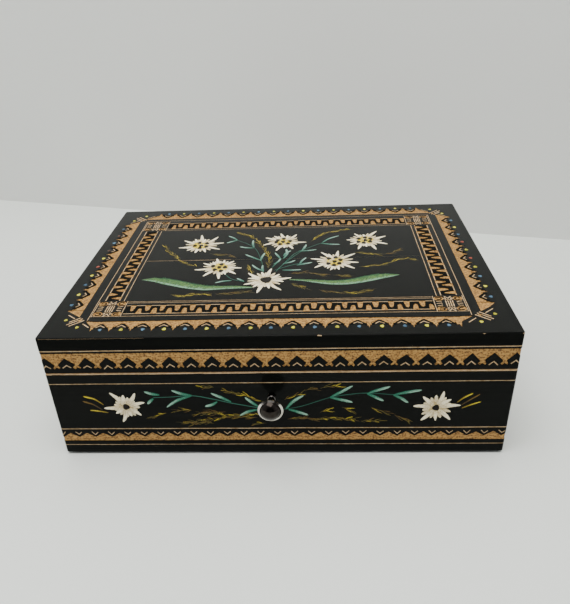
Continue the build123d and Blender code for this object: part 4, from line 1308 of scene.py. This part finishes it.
@dataclass
class FrontPainting:
    """The garland on the front; heights are from the box's foot and get the pad's thickness added."""
    pad: float = 1.8
    face: float = -100.0
    flowers: tuple[Edelweiss, ...] = (
        Edelweiss((-87.4, 33.6), ((-95.5, 43.5), (-80.9, 43.2), (-76.4, 36.6), (-79.5, 27.5), (-85.1, 26.8),
                                  (-91, 22.7), (-94.1, 28.9), (-100.4, 32.7), (-88, 42.0)), (), (2.3, 2.4), 3.7, True,
                  (0.6, 0.78)),
        Edelweiss((88.5, 31.6), ((76, 32.7), (80.8, 39.3), (92, 42.8), (96.5, 37.2), (102, 33.1), (97.2, 23),
                                 (80.8, 22.7), (89, 22.4)), (), (2.3, 2.4), 3.7, True, (0.6, 0.78)),
    )
    leaves: tuple = (
        (-75.4, 44.2, -67, 41.8), (-74.7, 35.5, -70.8, 39.3), (-59.7, 44.9, -48.6, 41.4), (-63.9, 33.1, -48.6, 41.1),
        (-37.5, 42.8, -26.5, 36.6), (-41.7, 33.4, -34.4, 36.8), (-18.4, 39.7, -11.1, 33.1), (-22.2, 26.8, -11.8, 31),
        (14.6, 40.7, 4.5, 31.3), (17, 26.8, 5.9, 31), (41.8, 47, 29.5, 39.3), (42, 35.7, 29.5, 39.1),
        (62.4, 46.3, 49.9, 41.6), (59.3, 36.6, 49.9, 41.6), (79.8, 43.8, 64.5, 40.6), (72.9, 35.2, 64.5, 40.6),
    )
    stems: tuple = (
        ((-70.8, 40), (-60, 40.4), (-48.6, 41.2), (-36, 38.5), (-26.8, 35.9), (-11.5, 32.4), (-4.6, 31)),
        ((1, 30.8), (12.8, 33.1), (28.8, 39), (39.2, 41.1), (50.3, 42), (64.5, 40.8)),
    )
    straws: tuple = (
        (-111.1, 41.3, -100.4, 35.2), (-112.2, 37.9, -101.8, 31.6), (-109, 31.3, -98.6, 29.5),
        (107.9, 41.4, 99.9, 35.2), (111.8, 40.7, 102, 33.1), (112.8, 35.5, 102.7, 31.1),
    )
    grasses: tuple = (
        (-73.6, 25.1, -64.6, 28.9), (-60.1, 29.6, -49.7, 31), (-55.2, 21.3, -45.5, 21.6), (-42, 46.8, -35.4, 46.8),
        (-30.2, 44.9, -8, 36.6), (13.5, 42.1, 3.8, 37.9), (22.6, 45.2, 15.6, 44.2), (34.4, 47, 23.9, 45.6),
        (28.8, 30, 23.9, 28.9), (42.7, 28.6, 36.2, 32.2), (24.6, 24.1, 5.2, 24.1), (44, 23.4, 24.6, 24.6),
        (57.3, 22, 46.9, 22.3), (-40.6, 28.9, -27.4, 25.4), (-26.8, 25.4, -12.2, 25.4), (-49.7, 21.3, -37.9, 21.3),
        (-15.6, 19.9, -7.3, 21.3), (63.8, 26.1, 52.4, 32), (74.9, 21.6, 65.9, 26.5),
        (-52, 21.8, -36, 24.5), (-36, 24.5, -22, 27.5), (-22, 27.5, -9, 27), (-46, 28.5, -30, 29.5),
    )

    def paint(self) -> None:
        """Paints the front: grasses, then leaves and stems, then the two flowers."""
        def place(x: float, z: float, rise: float) -> tuple[float, float, float]:
            return x, self.face - rise, z + self.pad

        sedge = Painting("front_grasses", "base", place, 41)
        for i, (a, b, c, d) in enumerate(self.grasses):
            sedge.grass([(c, d), ((a + c) / 2, (b + d) / 2 + 0.5), (a, b)],
                        ((Shade.GRASS, Shade.GRASS, Shade.RUST, Shade.STRAW), (Shade.RUST, Shade.GRASS))[i % 4 == 2],
                        5.4)
        for i, (a, b, c, d) in enumerate(self.straws):
            sedge.leaf((a, b), (c, d), 1.1, Shade.RUST if i % 3 == 1 else Shade.STRAW)
        sedge.piece("lacquered_wood")
        leaves = Painting("front_leaves", "base", place, 42)
        for spine in self.stems:
            leaves.stroke(list(spine), [0.5, 0.7, 0.7, 0.6], Shade.STEM, 0)
        for a, b, c, d in self.leaves:
            leaves.leaf((a, b), (c, d), 2.1, Shade.LEAF)
        leaves.piece("lacquered_wood")
        flowers = Painting("front_flowers", "base", place, 43)
        for flower in self.flowers:
            flower.paint(flowers)
        flowers.piece("lacquered_wood")


@dataclass
class FeltPad:
    """The felt that the box stands on, cut by hand with soft edges."""
    length: float = 248.0
    depth: float = 188.0
    thick: float = 1.8
    corner: float = 3.0
    side_steps: int = 40

    def build(self) -> bpy.types.Object:
        """Builds the pad in its node's place."""
        dice = random.Random(7)
        plan = []
        for cx, cy, start in ((1, -1, -90), (1, 1, 0), (-1, 1, 90), (-1, -1, 180)):
            x, y = cx * (self.length / 2 - self.corner), cy * (self.depth / 2 - self.corner)
            for k in range(7):
                angle = math.radians(start + 15 * k)
                plan.append((x + self.corner * math.cos(angle), y + self.corner * math.sin(angle),
                             math.cos(angle), math.sin(angle)))
            # then straight on to the next corner
            dx, dy = -round(math.sin(angle)), round(math.cos(angle))
            run = (self.depth if dy else self.length) - 2 * self.corner
            for k in range(1, self.side_steps):
                plan.append((x + self.corner * dy + dx * run * k / self.side_steps,
                             y - self.corner * dx + dy * run * k / self.side_steps, dy, -dx))
        waver = [dice.uniform(0, 0.25) for _ in plan]
        rings = ((6.0, 0.0), (0.7, 0.0), (0.2, 0.3), (0.0, 0.9), (0.2, 1.5), (0.7, self.thick), (6.0, self.thick))
        points, faces, count = [], [], len(plan)
        for inset, z in rings:
            for (x, y, nx, ny), off in zip(plan, waver):
                points.append((x - nx * (inset + off), y - ny * (inset + off), z))
        for ring in range(len(rings) - 1):
            for k in range(count):
                n = (k + 1) % count
                a = ring * count
                faces.append((a + k, a + n, a + count + n, a + count + k))
        faces.append(tuple(range(count))[::-1])
        faces.append(tuple(range((len(rings) - 1) * count, len(rings) * count)))
        pad = new_piece("felt_pad", points, faces, [PressedFelt("pressed wool felt", 0.95, 0.2).make()], sharp=60)
        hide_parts("base_pad")
        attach(pad, "base")
        log.info("felt_pad: %d faces", len(faces))
        return pad


@dataclass
class Hardware:
    """Hinges, lock, staple and key: CAD nodes whose shapes stay and whose surfaces are finished here."""
    finishes: dict[str, Finish] = field(default_factory=lambda: {
        # stamped brass: warm, slightly dull from its lacquer, with fine rolling lines along the leaf
        "hinge_brass": Metal("stamped brass", 0.34, 0.5, "#D2AE62", "#A9813A"),
        # brushed brass: the same metal rubbed with grit, so the lines are closer and the shine broader
        "lock_brass": Metal("brushed brass", 0.3, 0.5, "#CFA95A", "#9C7532", (900.0, 70.0, 900.0)),
        # drawn steel: cool grey with die lines along the bar
        "works_steel": Metal("drawn steel", 0.36, 0.5, "#B9BABB", "#8B8C8D", (80.0, 1200.0, 1200.0)),
        # polished nickel plate: near-mirror, faintly warm, with light handling marks
        "key_nickel": Metal("polished nickel plate", 0.1, 0.5, "#D2CEC6", "#ABA69C", (300.0, 300.0, 300.0), 4.0,
                            0.003),
        # sanded birch plywood
        "bottom_plywood": BirchPly("sanded birch plywood", 0.62, 0.35),
    })

    def dress(self) -> dict[str, bpy.types.Material]:
        """Gives each CAD node its finish by the record's slot and returns the finishes by slot."""
        made = {slot: finish.make() for slot, finish in self.finishes.items()}
        for part in frame["record"]["subparts"]:
            slot = part["material_slot"]
            if slot in made:
                node = frame["nodes"][part["node"]]
                node.data.materials.clear()
                node.data.materials.append(made[slot])
                log.info("%s: %s", part["node"], made[slot].name)
        return made


@dataclass
class KeyHead:
    """The key's turned head, a bright rim round a dome darkened as painted reflection, and the bead on its shank in
    front of the lock.
    """
    x: float = -3.2
    z: float = 42.4
    head_back: float = -113.2
    bead_back: float = -102.6
    rim: tuple[Point, ...] = ((0.0, 0.0), (2.0, 0.0), (6.8, 0.0), (7.0, 0.2), (7.0, 0.45), (5.95, 1.05))
    dome_edge: Point = (5.9, 1.0)
    dome_top: float = 5.0
    bead_radius: float = 0.42

    def turned(self, name: str, start: float, profile: list[tuple[float, float, int]],
               materials: list[bpy.types.Material], closed: bool) -> bpy.types.Object:
        """Turns a profile about the key's axis.

        Args:
            name: The piece's name.
            start: y of the profile's back.
            profile: Radius, distance forward and number of the finish, from the back to the front.
            materials: The finishes.
            closed: True where the profile closes on itself, as a ring's does.

        Returns:
            The piece, riding on the key.
        """
        points, faces, finish, count = [], [], [], 64
        for radius, out, _ in profile:
            for k in range(count):
                angle = 2 * math.pi * k / count
                points.append((self.x + radius * math.cos(angle), start - out, self.z + radius * math.sin(angle)))
        rows = len(profile)
        for i in range(rows if closed else rows - 1):
            a, b = i * count, (i + 1) % rows * count
            for k in range(count):
                n = (k + 1) % count
                faces.append((a + k, a + n, b + n, b + k))
                finish.append(profile[(i + 1) % rows][2])
        piece = new_piece(name, points, faces, materials, finish)
        shape = bmesh.new()
        shape.from_mesh(piece.data)
        bmesh.ops.remove_doubles(shape, verts=shape.verts, dist=1e-6)
        bmesh.ops.recalc_face_normals(shape, faces=shape.faces)
        shape.to_mesh(piece.data)
        shape.free()
        piece.data.set_sharp_from_angle(angle=math.radians(25))
        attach(piece, "key")
        return piece

    def build(self, nickel: bpy.types.Material) -> None:
        """Builds the head in its node's place, with its rim in nickel, and the bead."""
        rubbed = (300.0, 300.0, 300.0)
        # nickel darkened as painted reflection: the dark room mirrored in the head's middle is painted into its
        # colour, so that it mirrors the room dimly
        dark = Metal("nickel darkened as painted reflection", 0.09, 0.5, "#322D2A", "#201D1B", rubbed, 3.0, 0.002).make()
        # nickel darkened less, as painted shade, so that only the lamp shows in it
        shade_darkened_nickel = Metal("nickel darkened as painted shade", 0.12, 0.5, "#7A7673", "#6C6865", rubbed, 3.0, 0.002).make()
        profile = [(radius, out, 0) for radius, out in self.rim]
        edge, low = self.dome_edge
        rise = self.dome_top - low
        curve = (edge * edge + rise * rise) / (2 * rise)
        widest = math.asin(edge / curve)
        for k in range(15):
            angle = widest * (1 - k / 14)
            profile.append((curve * math.sin(angle), self.dome_top - curve * (1 - math.cos(angle)), 1 if k else 0))
        head = self.turned("turned_key_head", self.head_back, profile, [nickel, dark], False)
        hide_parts("key_head")
        size = self.bead_radius
        ring = [(1.85 + size * math.sin(math.pi * k / 10), size * (1 - math.cos(math.pi * k / 10)), 0)
                for k in range(11)]
        self.turned("key_shank_bead", self.bead_back, ring, [shade_darkened_nickel], True)
        log.info("key head: bright rim, dark dome, bead")


@dataclass
class Carcass:
    """The ten carved wooden pieces of box and lid."""
    nodes: tuple[WoodenNode, ...] = (
        WoodenNode("base_front_panel", "base", Wood.CARCASS),
        WoodenNode("base_left_panel", "base", Wood.CARCASS, sideways=True),
        WoodenNode("base_right_panel", "base", Wood.CARCASS, sideways=True),
        WoodenNode("base_back_panel", "base", Wood.CARCASS, rear=True),
        WoodenNode("lid_front_rail", "lid", Wood.RAIL),
        WoodenNode("lid_left_rail", "lid", Wood.RAIL, sideways=True),
        WoodenNode("lid_right_rail", "lid", Wood.RAIL, sideways=True),
        WoodenNode("lid_back_rail", "lid", Wood.RAIL, rear=True),
        WoodenNode("lid_top_front_board", "lid", Wood.BOARD),
        WoodenNode("lid_top_rear_board", "lid", Wood.BOARD, rear=True),
    )

    def build(self) -> None:
        """Carves and dresses all ten."""
        finishes = {
            Surface.LACQUER: BrushedLacquer("brushed black lacquer", 0.13, 0.047),
            Surface.CUT: CutWood("chip-carved limewood", 0.62, 0.3),
            Surface.PLANED: CutWood("planed limewood", 0.55, 0.35, "#D9BA8C", "#C8A370", "#AC8352", 420.0, 0.02, 0.0,
                                    11.0, 0.08),
            Surface.CREASE: BrushedLacquer("dusty lacquer crease", 0.5, 0.3, "#6E6A60", "#8C877A"),
            # scored lines and rubbed edges are paler than the chip cuts: bare limewood, and partly painted highlight
            # for the light that their bevelled edges catch
            Surface.SCORED: CutWood("scored limewood with painted highlight", 0.6, 0.3, "#C9AE88", "#AE9068", "#7A603E", 900.0, 0.03, 0.0),
            Surface.STAIN: BrushedLacquer("matt black stain and painted shade", 0.6, 0.02),
        }
        materials = [finishes[surface].make() for surface in Surface]
        wall_cuts = WallBorders().draw() + arris_wear()
        lid_cuts = LidBorders().draw()
        for node in self.nodes:
            node.build(wall_cuts, lid_cuts, materials)


@dataclass
class Studio:
    """Table, wall behind it, soft light and the camera at the photograph's angle."""
    camera_place: tuple[float, float, float] = (21.892, -385.135, 249.995)
    camera_right: tuple[float, float, float] = (0.9981908226, 0.0436407706, -0.0413589751)
    camera_down: tuple[float, float, float] = (-0.0115384652, -0.5360527291, -0.8441056423)
    camera_ahead: tuple[float, float, float] = (-0.0590080122, 0.8430557246, -0.5345793671)
    focal: float = 628.87
    centre: Point = (278.96, 355.48)
    picture: tuple[int, int] = (570, 604)
    wall_y: float = 290.6
    wall_slope: float = -0.264
    sensor: float = 36.0
    sky_strength: float = 1.03
    window_glow: float = 0.3
    lamp_watts: float = 27.0

    def camera(self) -> None:
        """Makes the camera; the sensor's width is the long side's."""
        data = bpy.data.cameras.new("camera")
        long_side = max(self.picture)
        data.sensor_width = self.sensor
        data.lens = self.focal * self.sensor / long_side
        data.shift_x = (self.picture[0] / 2 - self.centre[0]) / long_side
        data.shift_y = (self.centre[1] - self.picture[1] / 2) / long_side
        data.clip_start, data.clip_end = 0.01, 20.0
        camera = bpy.data.objects.new("camera", data)
        bpy.context.scene.collection.objects.link(camera)
        right, down, ahead = (Vector(v) for v in (self.camera_right, self.camera_down, self.camera_ahead))
        turn = Matrix((right, -down, -ahead)).transposed().to_4x4()
        camera.matrix_world = Matrix.Translation(Vector(self.camera_place) * MM) @ turn
        bpy.context.scene.camera = camera

    def plane(self, name: str, corners: list[tuple[float, float, float]], finish: Finish) -> bpy.types.Object:
        """Makes one flat surface of the room, its corners anticlockwise from its shown side."""
        sheet = new_piece(name, corners, [tuple(range(len(corners)))], [finish.make()], smooth=False)
        return sheet

    def room(self) -> None:
        """Makes the table and the wall."""
        far = 3000.0
        left, right = self.wall_y + self.wall_slope * -far, self.wall_y + self.wall_slope * far
        self.plane("table_top", [(-far, -far, 0), (far, -far, 0), (far, 4000, 0), (-far, 4000, 0)],
                   PaintedSurface("matt painted table", 0.55, 0.3, "#E9EDE8", "#E4E8E3"))
        self.plane("wall", [(-far, left, 0), (far, right, 0), (far, right, 2200), (-far, left, 2200)],
                   PaintedSurface("matt wall paint", 0.8, 0.2, "#EAEBE8", "#E6E7E4", True))

    def light(self) -> None:
        """Lights the room with a sky that is dim at the front, three faint windows there and a broad lamp above."""
        world = bpy.data.worlds.new("soft room light")
        graph = Graph(world)
        # the room is darker on the side that the box faces, which gives the metal something to show
        way = graph.add("SeparateXYZ", {"Vector": graph.add("TexCoord").outputs["Generated"]})
        side = graph.add("MapRange", {"From Min": -0.95, "From Max": 0.0, "Value": way.outputs["Y"]})
        tone = graph.add("ValToRGB", {"stops": [(0.1, "#2C2A28"), (0.8, "#F4F6FA")], "Fac": side})
        sky = graph.add("Background", {"Strength": self.sky_strength, "Color": tone})
        # three windows in the dark side, some 35 degrees wide and from the horizon to 25 degrees up
        ahead = graph.maths("MULTIPLY", way.outputs["Y"], -1.0)
        turn = graph.maths("ARCTAN2", way.outputs["X"], ahead)
        wave = graph.maths("COSINE", graph.maths("MULTIPLY", turn, 6.6))
        open_part = graph.maths("GREATER_THAN", wave, -0.3)
        height = graph.maths("COMPARE", way.outputs["Z"], 0.22, 0.22)
        front = graph.maths("GREATER_THAN", ahead, 0.2)
        lit = graph.maths("MULTIPLY", graph.maths("MULTIPLY", open_part, height), front)
        window = graph.add("Background", {"Strength": graph.maths("MULTIPLY", lit, self.window_glow)})
        graph.add("OutputWorld", {"Surface": graph.add("AddShader", {0: sky, 1: window})})
        bpy.context.scene.world = world
        self.lamp("ceiling_softbox", (-0.15, -0.3, 1.4), (0.0, -0.05, 0.0), (1.3, 1.0), self.lamp_watts)

    def lamp(self, name: str, place: tuple[float, float, float], target: tuple[float, float, float], size: Point,
             power: float) -> None:
        """Hangs one broad soft lamp of some watts; its place, target and size are in metres."""
        lamp = bpy.data.lights.new(name, "AREA")
        lamp.shape, lamp.size, lamp.size_y, lamp.energy = "RECTANGLE", *size, power
        lamp.color = linear("#FDFCF8")[:3]
        holder = bpy.data.objects.new(name, lamp)
        holder.location = place
        holder.rotation_mode = "QUATERNION"
        holder.rotation_quaternion = (Vector(target) - Vector(place)).to_track_quat("-Z", "Y")
        bpy.context.scene.collection.objects.link(holder)

    def build(self) -> None:
        """Makes camera, room and light."""
        self.camera()
        self.room()
        self.light()
        log.info("studio: camera, table, wall, sky and lamp")


def main() -> None:
    logging.basicConfig(level=logging.INFO, format="%(name)s %(message)s")
    Studio().build()
    for shade in Shade:
        PAINTS[shade] = StreakedPaint("artists paint " + shade.name.lower(), 0.5, 0.15, *shade.value).make()
    Carcass().build()
    LidPainting().paint()
    FrontPainting().paint()
    FeltPad().build()
    KeyHead().build(Hardware().dress()["key_nickel"])


if __name__ == "__main__":
    main()
